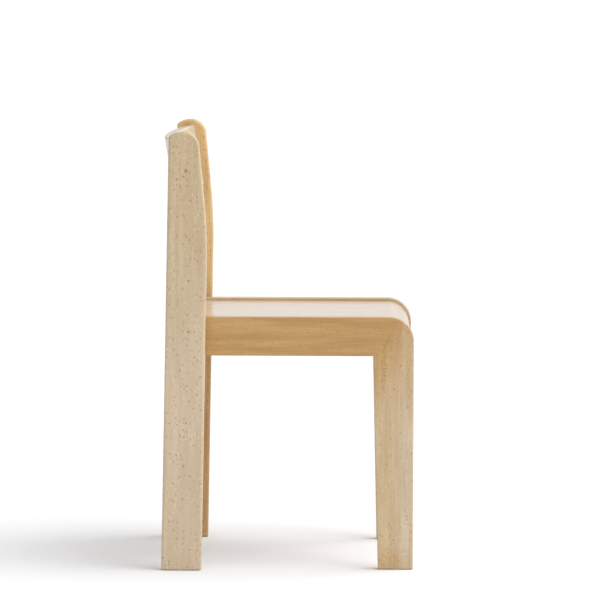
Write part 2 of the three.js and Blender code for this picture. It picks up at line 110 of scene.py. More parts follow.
class ChairSizes(bpy.types.PropertyGroup):
    """Sizes of the chair's pieces."""

    glide_stand: length("Glide stand", "Height of the feet above the floor", 0.0015)
    glue_gap: length("Glue gap", "Width of a glue line", 0.0002)

    post_thickness: length("Post thickness", "Width of a post from side to side", 0.025)
    post_depth: length("Post depth", "Depth of a post below its knee", 0.073)
    post_arris: length("Post arris", "Rounding of a post's long edges", 0.005)
    post_lean: angle("Post lean", "Lean of a post below its knee", 0.9)
    post_front_lean: angle("Post front lean", "Lean of a post's front edge above its knee", 5.4)
    knee_drop: length("Knee drop", "Place of the knee below the chair's top", 0.185)
    knee_radius: length("Knee radius", "Radius of the bend at the knee", 1.0)
    post_top_radius: length("Post top radius", "Rounding of a post's top at its front", 0.028)
    post_crown_drop: length("Post crown drop", "How far a post's crown falls to its rear edge", 0.009)
    post_corner_radius: length("Post corner radius", "Rounding of a post's rear upper corner", 0.008)

    frame_thickness: length("Frame thickness", "Width of rails and legs from side to side", 0.025)
    frame_arris: length("Frame arris", "Rounding of the rails' and legs' long edges", 0.0025)
    frame_height: length("Frame height", "Height of the rails' top", 0.462)
    rail_height: length("Rail height", "Depth of the side rails from top to bottom", 0.071)
    rail_rear: length("Rail rear", "Place of the rails' rear end", 0.014)
    leg_top_depth: length("Leg top depth", "Depth of a front leg at its top", 0.073)
    leg_foot_depth: length("Leg foot depth", "Depth of a front leg at its foot", 0.064)
    frame_corner_radius: length("Frame corner radius", "Rounding of the corner of rail and leg", 0.044)
    finger_count: IntProperty(name="Fingers", description="Fingers in each corner joint", default=9, min=1)
    finger_length: length("Finger length", "Length of the joint's fingers", 0.014)
    finger_tip: length("Finger tip", "Width of a finger's blunt tip", 0.001)
    finger_shoulder: length("Finger shoulder", "Straight end of the joint under the rounding", 0.005)
    finger_gap: length("Finger gap", "Width of the glue line between the fingers", 0.00004)

    seat_thickness: length("Seat thickness", "Thickness of the seat's plywood", 0.011)
    seat_drop: length("Seat drop", "Place of the seat below the rails' top", 0.0054)
    seat_setback: length("Seat setback", "Place of the seat's front behind the legs' front", 0.005)
    seat_rear: length("Seat rear", "Place of the seat's rear edge", 0.024)
    seat_side_gap: length("Seat side gap", "Gap between seat and rail", 0.0005)
    seat_front_height: length("Seat front height", "Height of the turned-down front", 0.057)
    seat_edge_radius: length("Seat edge radius", "Rounding of the seat's edges", 0.003)
    seat_side_edge: length("Seat side edge", "Rounding of the seat's edges at the rails", 0.0004)

    back_thickness: length("Back thickness", "Thickness of the back's bent board", 0.025)
    back_height: length("Back height", "Height of the back's board", 0.116)
    back_sagitta: length("Back hollow", "Depth of the back's curve", 0.0235)
    back_lean: angle("Back lean", "Lean of the back's board", 9.8)
    back_setback: length("Back setback", "Place of the back behind the posts' front edges", 0.02154)
    back_top_drop: length("Back top drop", "Place of the back's top below the posts' tops", 0.010)
    back_edge_radius: length("Back edge radius", "Rounding of the back's edges", 0.004)

    cross_rail_thickness: length("Cross rail thickness", "Depth of the rear cross rail", 0.022)
    cross_rail_place: length("Cross rail place", "Place of the rear cross rail", 0.034)
    cross_rail_edge: length("Cross rail edge", "Rounding of the cross rails' lower edges", 0.002)
    cross_rail_top_edge: length("Cross rail top edge", "Rounding of their upper edges", 0.0005)
    cross_rail_end_edge: length("Cross rail end edge", "Rounding of their ends", 0.0003)
    cross_rail_lift: length("Cross rail lift", "Place of the cross rails above the rails' bottom", 0.003)
    front_rail_depth: length("Front rail depth", "Depth of the front cross rail", 0.037)
    block_leg: length("Block leg", "Length of a corner block's glued faces", 0.055)
    block_tip: length("Block tip", "Width of a corner block at its ends", 0.008)
    block_height: length("Block height", "Height of a corner block", 0.028)
    block_edge: length("Block edge", "Rounding of a corner block's edges", 0.001)

    screw_radius: length("Screw radius", "Radius of the screws' shanks", 0.002)
    screw_head: length("Screw head", "Radius of the screws' heads", 0.004)
    screw_head_depth: length("Screw head depth", "Depth of the screws' heads", 0.0028)
    screw_point: length("Screw point", "Length of the screws' points", 0.006)
    screw_dome: length("Screw dome", "Height of the domed screw heads", 0.0005)
    screw_sink: length("Screw sink", "Depth of the dome's edge below its seat", 0.00002)
    screw_rim: length("Screw rim", "Depth of the rim of a screw's head", 0.0003)
    recess_depth: length("Recess depth", "Depth of a head's cross recess", 0.0014)
    recess_reach: length("Recess reach", "Length of the cross recess's arms", 0.0026)
    recess_arm: length("Recess arm", "Half the width of an arm at its top", 0.000825)
    recess_flank: length("Recess flank", "Width of an arm's sloping sides", 0.00044)
    glide_radius: length("Glide radius", "Radius of the glides under the feet", 0.010)
    glide_edge: length("Glide edge", "Rounding of the glides", 0.001)
    glide_cap: length("Glide cap", "Height of the glides' heads", 0.004)
    glide_pin: length("Glide pin", "Radius of the glides' pins", 0.0025)
    glide_pin_length: length("Glide pin length", "Length of the glides' pins", 0.014)


class ChairColours(bpy.types.PropertyGroup):
    """Colours of the chair's woods, metal and stage."""

    right_upper_pale: tone("Right post top, pale", "Lightest wood of the right post's top", 203, 182, 147)
    right_upper_deep: tone("Right post top, deep", "Darkest wood of the right post's top", 190, 166, 129)
    right_lower_pale: tone("Right post foot, pale", "Lightest wood of the right post's foot", 210, 189, 160)
    right_lower_deep: tone("Right post foot, deep", "Darkest wood of the right post's foot", 199, 177, 146)
    # The left post's tones are partly its wood and partly painted light: a warmer top for bounce light, and
    # a darker foot for the shade under the seat
    left_upper_pale: tone("Left post top, pale", "Lightest wood of the left post's top", 224, 191, 137)
    left_upper_deep: tone("Left post top, deep", "Darkest wood of the left post's top", 205, 168, 112)
    left_lower_pale: tone("Left post foot, pale", "Lightest wood of the left post's foot", 205, 167, 114)
    left_lower_deep: tone("Left post foot, deep", "Darkest wood of the left post's foot", 184, 143, 90)
    knot: tone("Knot", "Pin knot of the right post", 148, 106, 62)
    mineral_spot: tone("Mineral spot", "Greenish spots of the right post", 150, 132, 74)
    knot_line: tone("Knot line", "Dark specks beside the corner joint", 150, 118, 76)
    leg_pale: tone("Leg pale", "Lightest wood of the legs", 208, 183, 145)
    leg_deep: tone("Leg deep", "Darkest wood of the legs", 194, 166, 126)
    front_pale: tone("Leg front pale", "Lightest wood of the legs' front edge", 215, 196, 167)
    front_deep: tone("Leg front deep", "Darkest wood of the legs' front edge", 196, 173, 141)
    rail_pale: tone("Rail pale", "Lightest wood of the side rails", 198, 158, 99)
    rail_deep: tone("Rail deep", "Darkest wood of the side rails", 180, 137, 80)
    veneer_pale: tone("Veneer pale", "Lightest wood of the seat's veneer", 221, 203, 182)
    veneer_deep: tone("Veneer deep", "Darkest wood of the seat's veneer", 206, 185, 158)
    back_pale: tone("Back pale", "Lightest wood of the back", 215, 199, 179)
    back_deep: tone("Back deep", "Darkest wood of the back", 200, 181, 155)
    ply_dark: tone("Ply dark", "Darker layers of the plywood's edges", 158, 122, 82)
    plain_pale: tone("Plain pale", "Lightest wood of the pieces under the seat", 213, 186, 144)
    plain_deep: tone("Plain deep", "Darkest wood of the pieces under the seat", 188, 155, 110)
    zinc: tone("Zinc", "Zinc plating of the screws", 196, 197, 192)
    zinc_dull: tone("Dull zinc", "Duller spots of the zinc plating", 150, 150, 142)
    nylon: tone("Nylon", "Nylon of the glides", 214, 210, 198)
    nylon_worn: tone("Worn nylon", "Scuffed nylon of the glides", 178, 170, 154)
    floor: tone("Floor", "Plain floor", 246, 246, 247)
    backdrop: tone("Backdrop", "Light around the stage", 250, 251, 253)


class ChairGrain(bpy.types.PropertyGroup):
    """Sizes of the figure in the chair's beech, and depths of its surfaces' relief."""

    sway_width: length("Sway width", "Width of the rings' slow waves", 0.060)
    sway_length: length("Sway length", "Length of the rings' slow waves", 0.150)
    sway_reach: length("Sway reach", "How far a wave moves a ring", 0.022)
    streak_width: length("Streak width", "Width of the fine streaks", 0.0017)
    streak_length: length("Streak length", "Length of the fine streaks", 0.060)
    cloud_width: length("Cloud width", "Width of the broad shading", 0.013)
    cloud_length: length("Cloud length", "Length of the broad shading", 0.150)
    fleck_width: length("Fleck width", "Distance of the dark flecks across the grain", 0.0062)
    fleck_length: length("Fleck length", "Distance of the dark flecks along the grain", 0.0088)
    light_fleck_width: length("Light fleck width", "Distance of the light flecks across", 0.0063)
    light_fleck_length: length("Light fleck length", "Distance of the light flecks along", 0.0070)
    small_fleck_width: length("Small fleck width", "Distance of the small flecks across", 0.0017)
    small_fleck_length: length("Small fleck length", "Distance of the small flecks along", 0.0080)
    fleck_wave: length("Fleck wave", "Size of the waves in a fleck's outline", 0.0025)
    fleck_wave_reach: length("Fleck wave reach", "How far the waves move the outline", 0.0040)
    pore_width: length("Pore width", "Width of the pores", 0.00035)
    pore_length: length("Pore length", "Length of the pores", 0.0040)
    lacquer_relief: length("Lacquer relief", "Depth of the grain under lacquer", 0.00005)
    planed_relief: length("Planed relief", "Depth of the grain of planed wood", 0.00008)
    zinc_relief: length("Zinc relief", "Depth of the zinc's spangle", 0.00002)
    nylon_relief: length("Nylon relief", "Depth of the nylon's scuffs", 0.00004)
    floor_relief: length("Floor relief", "Depth of the floor's mottling", 0.0001)


class ChairStage(bpy.types.PropertyGroup):
    """Floor, lights and camera."""

    floor_reach: length("Floor reach", "Distance of the floor's edges from its middle", 120.0)
    light_round: share("Light from all round", "Strength of the light from all round", 0.84)
    light_left: share("Light from the left", "What it gains towards the chair's left side", 0.02)
    light_front: share("Light from the front", "What it gains towards the chair's front", 0.12)
    light_rear_loss: share("Loss behind", "What it loses behind the chair", 0.32)
    light_rear_turn: share("Turn behind", "Where that loss is full, 0 at the side and 1 behind", 0.8)
    key_strength: share("Key strength", "Strength of the key light", 1.85)
    key_spread: angle("Key spread", "Angle over which the key light is spread", 60)
    key_side: FloatVectorProperty(
        name="Key side", description="Where the key light comes from", default=(-0.12, -0.75, 0.95)
    )
    camera_place: FloatVectorProperty(
        name="Camera place",
        description="Place of the camera",
        default=(-9.5195, -0.105436, 1.27108),
        precision=5,
        subtype="TRANSLATION",
        unit="LENGTH",
    )
    camera_yaw: angle("Camera yaw", "Turn of the camera about the upright", -0.5077953)
    camera_pitch: angle("Camera pitch", "Turn of the camera downwards", 4.7824214)
    camera_roll: angle("Camera roll", "Turn of the camera about its line of sight", 0.2005295)
    camera_lens: FloatProperty(
        name="Camera lens", description="Focal length of the camera", default=307.75, unit="CAMERA"
    )
    camera_sensor: FloatProperty(
        name="Camera sensor", description="Width of the camera's sensor", default=36.0, unit="CAMERA"
    )
    camera_reach: length("Camera reach", "How far the camera sees", 400.0)


# Outlines, as arrays of points (u, h)

# Steps in the rounded edges of boards, of the seat's sides, of the cross rails' ends and of the blocks
EDGE_STEPS = 8
SEAT_SIDE_STEPS = 3
RAIL_END_STEPS = 2
BLOCK_EDGE_STEPS = 4

# Steps in small roundings, bends and large roundings, along the back, and round turned pieces
GLIDE_EDGE_STEPS = 6
ROUNDING_STEPS = 12
SEAT_STEPS = 20
BEND_STEPS = 24
CORNER_STEPS = 40
BACK_STEPS = 96
TURNED_STEPS = 64

# The sine of the turn below which two sides count as being in line
ALMOST_STRAIGHT = 0.02


def levels(s):
    """Heights and places that several pieces share, worked out from the sizes."""
    top = HIGH.z
    post_inner = (HIGH.x - LOW.x) / 2 - s.post_thickness
    frame_outer = post_inner - s.glue_gap
    rail_bottom = s.frame_height - s.rail_height
    seat_top = s.frame_height - s.seat_drop
    seat_under = seat_top - s.seat_thickness
    seat_front = DEPTH - s.seat_setback
    front_rail_front = seat_front - s.seat_thickness - s.glue_gap
    return SimpleNamespace(
        top=top,
        knee=top - s.knee_drop,
        post_inner=post_inner,
        post_middle=post_inner + s.post_thickness / 2,
        frame_middle=frame_outer - s.frame_thickness / 2,
        frame_inner=frame_outer - s.frame_thickness,
        rail_bottom=rail_bottom,
        leg_rear_top=DEPTH - s.leg_top_depth,
        seat_top=seat_top,
        seat_under=seat_under,
        seat_front=seat_front,
        seat_bend=s.frame_corner_radius - s.seat_setback,
        under_seat=seat_under - s.glue_gap,
        cross_bottom=rail_bottom + s.cross_rail_lift,
        front_rail_front=front_rail_front,
        front_rail_rear=front_rail_front - s.front_rail_depth,
        rear_rail_front=s.cross_rail_place + s.cross_rail_thickness,
    )


def arc(centre, radius, start, end, steps):
    """Points at equal angles on a circle: centre + radius * (cos, sin)."""
    turn = np.linspace(start, end, steps + 1)
    return np.asarray(centre) + radius * np.stack([np.cos(turn), np.sin(turn)], axis=1)


def rounded(before, corner, after, radius, steps):
    """The arc that touches both sides of a corner: its centre lies on the bisector."""
    before, corner, after = (np.asarray(p, float) for p in (before, corner, after))
    one = (before - corner) / np.linalg.norm(before - corner)
    two = (after - corner) / np.linalg.norm(after - corner)
    half = math.acos(float(np.clip(one @ two, -1, 1))) / 2
    middle = (one + two) / np.linalg.norm(one + two)
    centre = corner + middle * radius / math.sin(half)
    start = corner + one * radius / math.tan(half) - centre
    end = corner + two * radius / math.tan(half) - centre
    first = math.atan2(start[1], start[0])
    turn = math.atan2(start[0] * end[1] - start[1] * end[0], float(start @ end))
    return arc(centre, radius, first, first + turn, steps)


def rounded_outline(corners, steps):
    """Corners are (u, h, radius); one with a radius of 0 stays sharp."""
    places = [np.array(c[:2], float) for c in corners]
    parts = []
    for i, (_, _, radius) in enumerate(corners):
        around = places[i - 1], places[i], places[(i + 1) % len(corners)]
        parts.append(rounded(*around, radius, steps) if radius else places[i][None])
    return np.concatenate(parts)


def inset_directions(points, plain):
    """Where each corner of a closed outline goes when its sides move in by one.

    A side that is plain stays in its line. The direction d solves d . n1 = a1 and d . n2 = a2, with n1 and
    n2 the inward normals of the sides before and after, and a 0 for a plain side and 1 for another. Where
    the two sides are almost in line, d is the mean of their normals, scaled.
    """
    along = np.roll(points, -1, axis=0) - points
    along /= np.linalg.norm(along, axis=1, keepdims=True)
    after = np.stack([-along[:, 1], along[:, 0]], axis=1)
    before = np.roll(after, 1, axis=0)
    moves_after = 1.0 - np.asarray(plain, float)
    moves_before = np.roll(moves_after, 1)
    cross = before[:, 0] * after[:, 1] - before[:, 1] * after[:, 0]
    straight = np.abs(cross) < ALMOST_STRAIGHT
    safe = np.where(straight, 1.0, cross)
    solved = np.stack(
        [
            (moves_before * after[:, 1] - moves_after * before[:, 1]) / safe,
            (moves_after * before[:, 0] - moves_before * after[:, 0]) / safe,
        ],
        axis=1,
    )
    mean = (before + after) / (1 + (before * after).sum(axis=1, keepdims=True))
    return np.where(straight[:, None], mean * moves_after[:, None], solved)


# Meshes

# Points nearer than this are one, and an edge shorter than this is none
SAME_PLACE = 0.001 * MILLIMETRE
NO_LENGTH = 0.0001 * MILLIMETRE

# Degrees past which an edge is shaded as sharp, on boards and on screws
BOARD_CREASE = 32
SCREW_CREASE = 50


def in_frame(points):
    """(u, h, w) in the side view, on an array's last axis, as (x, y, z) in the chair's frame."""
    u, h, w = np.moveaxis(np.asarray(points, float), -1, 0)
    return np.stack([-w, REAR - u, h], axis=-1)


def from_frame(points):
    """(x, y, z) in the chair's frame as (u, h, w) in the side view."""
    x, y, z = np.moveaxis(np.asarray(points, float), -1, 0)
    return np.stack([REAR - y, z, -x], axis=-1)


def grid_faces(rows, columns):
    """Four-sided faces between neighbours on a grid numbered row by row, its last row next to its first."""
    first = np.arange(rows)
    after = (first + 1) % rows
    across = np.arange(columns - 1)
    a = first[:, None] * columns + across
    b = after[:, None] * columns + across
    return np.stack([a, a + 1, b + 1, b], axis=-1).reshape(-1, 4)


def capped_grid(rows, columns):
    """The faces of such a grid, with one face on each end: on the first column and on the last."""
    start = np.arange(rows) * columns
    faces = grid_faces(rows, columns).tolist()
    return [*faces, start.tolist(), (start + columns - 1)[::-1].tolist()]


def new_piece(name, node, points, faces, finish, crease=BOARD_CREASE):
    """Makes a mesh piece from points and lists of faces, merges doubled points, hangs it under the root
    body and hides the CAD node it stands for.
    """
    mesh = bpy.data.meshes.new(name)
    mesh.from_pydata(in_frame(points).reshape(-1, 3).tolist(), [], faces)
    form = bmesh.new()
    form.from_mesh(mesh)
    bmesh.ops.remove_doubles(form, verts=form.verts, dist=SAME_PLACE)
    bmesh.ops.dissolve_degenerate(form, edges=form.edges, dist=NO_LENGTH)
    if form.calc_volume(signed=True) <= 0 or any(len(edge.link_faces) != 2 for edge in form.edges):
        raise ValueError(f"{name} is not a closed body with its faces outwards")
    form.to_mesh(mesh)
    form.free()
    mesh.shade_smooth()
    mesh.set_sharp_from_angle(angle=math.radians(crease))
    mesh.materials.append(finish)
    piece = bpy.data.objects.new(name, mesh)
    bpy.context.scene.collection.objects.link(piece)
    weighted = piece.modifiers.new("Even shading", "WEIGHTED_NORMAL")
    weighted.keep_sharp = True
    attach(piece, "root")
    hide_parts(node)
    return piece


def board(outline, plain, thickness, arris, across, steps=EDGE_STEPS):
    """A board cut to an outline, with its long edges rounded.

    Each row stands at a corner of the outline and its columns run round the edge from face to face: the
    point is corner + inset * r * (1 - sin q), at thickness / 2 - r * (1 - cos q) from the middle, with q
    from 0 to 90 degrees, and the same again mirrored. r is 0 where both sides of a corner are plain.
    """
    directions = inset_directions(outline, plain)
    both_plain = np.asarray(plain) & np.roll(plain, 1)
    radius = np.where(both_plain, 0.0, arris)[:, None]
    turn = np.linspace(0, math.pi / 2, steps + 1)
    inset = radius * (1 - np.sin(turn))
    half = thickness / 2 - radius * (1 - np.cos(turn))
    inset = np.concatenate([inset, inset[:, ::-1]], axis=1)
    side = np.concatenate([half, -half[:, ::-1]], axis=1) + across
    flat = outline[:, None, :] + directions[:, None, :] * inset[:, :, None]
    points = np.concatenate([flat, side[:, :, None]], axis=-1)
    return points.reshape(-1, 3), capped_grid(*side.shape)


def turned(profile, place, axis, recess=None):
    """A turned shape: a profile of (radius, place along the axis) carried round the axis.

    The point is place + radius * (cos t * one + sin t * two) + along * axis, where the axis is one of the
    frame's and one and two are the others. A recess is a function of radius, angle and place along the axis
    that gives how much deeper a point lies.
    """
    profile = np.asarray(profile, float)
    axis = np.asarray(axis, float)
    one = np.roll(axis, 1)
    two = np.cross(axis, one)
    turn = np.linspace(0, 2 * math.pi, TURNED_STEPS, endpoint=False)[:, None]
    radius = np.broadcast_to(profile[:, 0], (TURNED_STEPS, len(profile)))
    along = np.broadcast_to(profile[:, 1], (TURNED_STEPS, len(profile)))
    if recess is not None:
        along = along + recess(radius, turn, along)
    ring = radius[..., None] * (np.cos(turn)[..., None] * one + np.sin(turn)[..., None] * two)
    points = np.asarray(place, float) + ring + along[..., None] * axis
    faces = grid_faces(TURNED_STEPS, len(profile))[:, ::-1].tolist()
    return points.reshape(-1, 3), faces


# Finishes

# Grain that runs along y or along x is turned so that it runs along local z
ALONG_Y = (math.radians(90), 0, 0)
ALONG_X = (0, math.radians(-90), 0)

# What is constant over lacquered and over sealed wood
LACQUER = {"Specular IOR Level": 0.15, "Coat Weight": 0.7, "Coat Roughness": 0.16}
THIN_LACQUER = {**LACQUER, "Coat Weight": 0.35}
SEALED = {"Specular IOR Level": 0.35}

# Cells' own values between which their spots grow from none to full strength, and a spot's full core
SPECK_STRENGTHS = (0.3, 0.65)
SPOT_CORE = 0.3

# Rings: how steeply their late wood darkens, where it ends, and how far it covers the streaks and clouds
LATE_RISE = 3.0
LATE_END = (0.93, 1.0)
LATE_COVER = 0.3

# Clouds and streaks: how roughly their noise is layered, the clouds' share, and the range that is shown
STREAK_NOISE = (4.0, 0.62)
CLOUD_NOISE = (4.0, 0.6)
CLOUD_SHARE = 0.72
TONE_RANGE = (0.33, 0.67)

# Flecks: where a fleck fades out, as shares of its cell, and what it does to the wood's red, green and blue
FLECK_SPREAD = (0.11, 0.36)
LIGHT_FLECK_SPREAD = (0.10, 0.36)
SMALL_FLECK_SPREAD = (0.13, 0.28)
DARK_FLECK = (0.54, 0.43, 0.32)
LIGHT_FLECK = (1.22, 1.24, 1.26)
LIGHT_SPECK = (1.22, 1.30, 1.42)
SMALL_FLECK_SHARE = 0.5
LIGHT_FLECK_SHARE = 1.5

# Roughness of lacquered wood, and what streaks, flecks and the layers of plywood add to it
WOOD_ROUGHNESS = 0.36
STREAK_ROUGHNESS = 0.10
FLECK_ROUGHNESS = 0.15
LAYER_ROUGHNESS = 0.12
PLANED_ROUGHNESS = 0.2

# Relief: how high streaks and pores stand and how deep the rest lies, as shares of the relief's depth
STREAK_RELIEF = 0.4
PORE_RELIEF = 0.4
FLECK_RELIEF = 0.5
LATE_RELIEF = 0.2
SPOT_RELIEF = 0.5
LAYER_RELIEF = 0.3

# Each post's wood: the heights between which its tone turns, and the place of its pith. On the left post
# the turn lies at the seat's height, where its tone darkens into painted shade under the seat
POST_WOODS = {
    "right": {"turn": (0.30, 0.72), "pith": (0.19, 0.05, 0.02)},
    "left": {"turn": (0.40, 0.50), "pith": (-0.21, 0.11, 0.31)},
}

# Pin knots and mineral spots on the right post's outer face: kind, places u and h, and radius
POST_SPOTS = (
    ("knot", 0.0440, 0.7292, 0.0046),
    ("knot", 0.0392, 0.7187, 0.0026),
    ("knot", 0.0274, 0.7138, 0.0028),
    ("mineral_spot", 0.0490, 0.5293, 0.0034),
    ("mineral_spot", 0.0490, 0.4365, 0.0034),
)
SPOT_STRENGTH = 0.8

# Plywood: its number of layers, the thickness of its face veneer, and how strongly the layers show
LAYERS = 7
FACE_VENEER = 0.0012
LAYER_STRENGTH = 0.6

# The seat's bend: painted shade, where along its face it darkens the veneer against the key light, and what
# the veneer keeps of its red, green and blue
BEND_SHADE_RANGE = (0.0, 0.042)
BEND_PAINTED_SHADE = (0.68, 0.64, 0.61)


class Field:
    """A number or colour that varies over a surface. Arithmetic on a number adds the Math nodes for it."""

    def __init__(self, finish, socket):
        self.finish = finish
        self.socket = socket

    def __add__(self, other):
        return self.finish.maths("ADD", self, other)

    def __sub__(self, other):
        return self.finish.maths("SUBTRACT", self, other)

    def __rsub__(self, other):
        return self.finish.maths("SUBTRACT", other, self)

    def __mul__(self, other):
        return self.finish.maths("MULTIPLY", self, other)

    def __truediv__(self, other):
        return self.finish.maths("DIVIDE", self, other)

    def __pow__(self, other):
        return self.finish.maths("POWER", self, other)

    __radd__ = __add__
    __rmul__ = __mul__


class Nodes:
    """A node tree in the making, emptied at the start."""

    def __init__(self, tree):
        self.tree = tree
        tree.nodes.clear()

    def node(self, kind, settings=None, values=None):
        """Adds a node: its settings come first, then the numbers or links of its sockets."""
        node = self.tree.nodes.new(kind)
        for key, value in (settings or {}).items():
            setattr(node, key, value)
        for key, value in (values or {}).items():
            if isinstance(value, Field):
                self.tree.links.new(value.socket, node.inputs[key])
            else:
                node.inputs[key].default_value = value
        return node

    def field(self, kind, settings=None, values=None, output=0):
        return Field(self, self.node(kind, settings, values).outputs[output])

    def maths(self, operation, one, two=0.0):
        return self.field("ShaderNodeMath", {"operation": operation}, {0: one, 1: two})

    def smooth(self, value, low, high):
        """0 below low, 1 above high and a smooth step between them."""
        return self.field(
            "ShaderNodeMapRange",
            {"interpolation_type": "SMOOTHSTEP"},
            {"Value": value, "From Min": low, "From Max": high},
        )

    def blend(self, part, one, two):
        """A colour between two: one where the part is 0, two where it is 1."""
        settings = {"data_type": "RGBA", "clamp_factor": True}
        return self.field("ShaderNodeMix", settings, {0: part, 6: one, 7: two}, output=2)

    def placed(self, rotation=(0, 0, 0), pith=(0, 0, 0)):
        """Object coordinates, turned so that local z runs along the grain, then moved by the pith."""
        values = {"Vector": self.field("ShaderNodeTexCoord", output="Object")}
        values.update({"Rotation": rotation, "Location": pith})
        return self.field("ShaderNodeMapping", None, values)

    def stretched(self, vector, cell):
        """A vector counted in cells of the given size in metres."""
        times = tuple(1 / size for size in cell)
        return self.field("ShaderNodeVectorMath", {"operation": "MULTIPLY"}, {0: vector, 1: times})

    def noise(self, vector, cell, detail=2.0, rough=0.5, output="Fac"):
        """Noise with cells of the given size in metres, as a number or as a colour."""
        values = {"Vector": self.stretched(vector, cell), "Scale": 1.0}
        values.update({"Detail": detail, "Roughness": rough})
        return self.field("ShaderNodeTexNoise", None, values, output)

    def specks(self, vector, cell, spread):
        """Small spots, one in each cell, each of its own strength: up to 1 in a spot and 0 between them.

        The spread holds the radii, as shares of a cell, between which a spot fades out.
        """
        values = {"Vector": self.stretched(vector, cell), "Scale": 1.0}
        spots = self.node("ShaderNodeTexVoronoi", None, values)
        strength = self.smooth(Field(self, spots.outputs["Color"]), *SPECK_STRENGTHS)
        return (1 - self.smooth(Field(self, spots.outputs["Distance"]), *spread)) * strength

    def warped(self, vector, size, reach):
        """The vector moved about by noise, so that round shapes become uneven."""
        noise = self.noise(vector, (size,) * 3, output="Color")
        settings = {"operation": "MULTIPLY_ADD"}
        return self.field("ShaderNodeVectorMath", settings, {0: noise, 1: (reach,) * 3, 2: vector})

    def near(self, vector, place, radius):
        """1 at a place and 0 beyond a radius round it."""
        settings = {"operation": "DISTANCE"}
        far = self.field("ShaderNodeVectorMath", settings, {0: vector, 1: place}, "Value")
        return 1 - self.smooth(far, radius * SPOT_CORE, radius)

    def scaled(self, colour, times):
        """A colour with its red, green and blue each multiplied by a number."""
        return self.field("ShaderNodeVectorMath", {"operation": "MULTIPLY"}, {0: colour, 1: times})

    def parts(self, vector):
        split = self.node("ShaderNodeSeparateXYZ", None, {0: vector})
        return tuple(Field(self, socket) for socket in split.outputs)

    def joined(self, x, y, z):
        return self.field("ShaderNodeCombineXYZ", None, {0: x, 1: y, 2: z})


class Finish(Nodes):
    """A material in the making, with one Principled shader whose constants are given at the start."""

    def __init__(self, name, constants):
        self.material = bpy.data.materials.new(name)
        self.material.use_nodes = True
        super().__init__(self.material.node_tree)
        output = self.node("ShaderNodeOutputMaterial")
        self.shader = self.node("ShaderNodeBsdfPrincipled", values=constants)
        self.tree.links.new(self.shader.outputs["BSDF"], output.inputs["Surface"])

    def finished(self, colour, roughness, height, relief):
        """Feeds the shader: colour, roughness and a relief of the given depth from a height of 0 to 1."""
        values = {"Height": height, "Distance": relief, "Strength": 1.0}
        normal = self.field("ShaderNodeBump", None, values, "Normal")
        for socket, value in (("Base Color", colour), ("Roughness", roughness), ("Normal", normal)):
            self.tree.links.new(value.socket, self.shader.inputs[socket])
        return self.material


def opaque(colour):
    return (*colour, 1.0)


def cube(size):
    return size, size, size


def fibre(width, along):
    """A cell that is drawn out along the grain."""
    return width, width, along


def beech(finish, grain, vector, tones, ring, slope, late, flecks):
    """Beech of a board: growth rings round the pith, streaks along the grain, clouds and ray flecks.

    A ring's place is sqrt(x^2 + y^2) + slope * z, bent by noise, so that a face near the pith shows arches.
    The tones are the wood's lightest and darkest colour, ring is the width of a ring, late is how dark its
    late wood is, and flecks is how strongly the flecks show.
    """
    x, y, z = finish.parts(vector)
    sway = finish.noise(vector, fibre(grain.sway_width, grain.sway_length), detail=3.0)
    across = (x * x + y * y) ** 0.5 + z * slope + sway * grain.sway_reach
    turn = finish.maths("FRACT", across / ring)
    late_wood = turn**LATE_RISE * (1 - finish.smooth(turn, *LATE_END))
    streaks = finish.noise(vector, fibre(grain.streak_width, grain.streak_length), *STREAK_NOISE)
    clouds = finish.noise(vector, fibre(grain.cloud_width, grain.cloud_length), *CLOUD_NOISE)
    shown = finish.smooth(clouds * CLOUD_SHARE + streaks * (1 - CLOUD_SHARE), *TONE_RANGE)
    colour = finish.blend(shown * (1 - late_wood * LATE_COVER) + late_wood * late, *tones)

    uneven = finish.warped(vector, grain.fleck_wave, grain.fleck_wave_reach)
    dark_cell = fibre(grain.fleck_width, grain.fleck_length)
    light_cell = fibre(grain.light_fleck_width, grain.light_fleck_length)
    small_cell = fibre(grain.small_fleck_width, grain.small_fleck_length)
    dark = finish.specks(uneven, dark_cell, FLECK_SPREAD)
    small = finish.specks(vector, small_cell, SMALL_FLECK_SPREAD)
    light = finish.specks(uneven, light_cell, LIGHT_FLECK_SPREAD)
    dark = dark * flecks + small * (SMALL_FLECK_SHARE * flecks)
    light = light * (LIGHT_FLECK_SHARE * flecks)
    colour = finish.blend(light, colour, finish.scaled(colour, LIGHT_FLECK))
    colour = finish.blend(dark, colour, finish.scaled(colour, DARK_FLECK))

    pores = finish.noise(vector, fibre(grain.pore_width, grain.pore_length))
    raised = streaks * STREAK_RELIEF + pores * PORE_RELIEF
    height = raised - dark * FLECK_RELIEF - late_wood * LATE_RELIEF
    rough = streaks * STREAK_ROUGHNESS + dark * FLECK_ROUGHNESS + WOOD_ROUGHNESS
    return colour, rough, height


def post_finish(side, colours, grain):
    """Pale flecked beech, its tone changing from the foot to the top, with spots on the right post. The
    left post's tones are partly painted light: warm bounce light above the seat and shade below it.
    """
    finish = Finish(f"Beech post {side}", LACQUER)
    wood = POST_WOODS[side]
    _, _, z = finish.parts(finish.placed())
    high = finish.smooth(z, *wood["turn"])
    tones = []
    for depth in ("pale", "deep"):
        low_tone = opaque(getattr(colours, f"{side}_lower_{depth}"))
        high_tone = opaque(getattr(colours, f"{side}_upper_{depth}"))
        tones.append(finish.blend(high, low_tone, high_tone))
    vector = finish.placed(pith=wood["pith"])
    colour, rough, height = beech(
        finish, grain, vector, tones, ring=0.0034, slope=0.012, late=0.3, flecks=0.6
    )
    for kind, forward, up, radius in POST_SPOTS:
        spot = finish.near(finish.placed(), (LOW.x, REAR - forward, up), radius)
        colour = finish.blend(spot * SPOT_STRENGTH, colour, opaque(getattr(colours, kind)))
        height = height - spot * SPOT_RELIEF
    return finish.finished(colour, rough, height, grain.lacquer_relief)


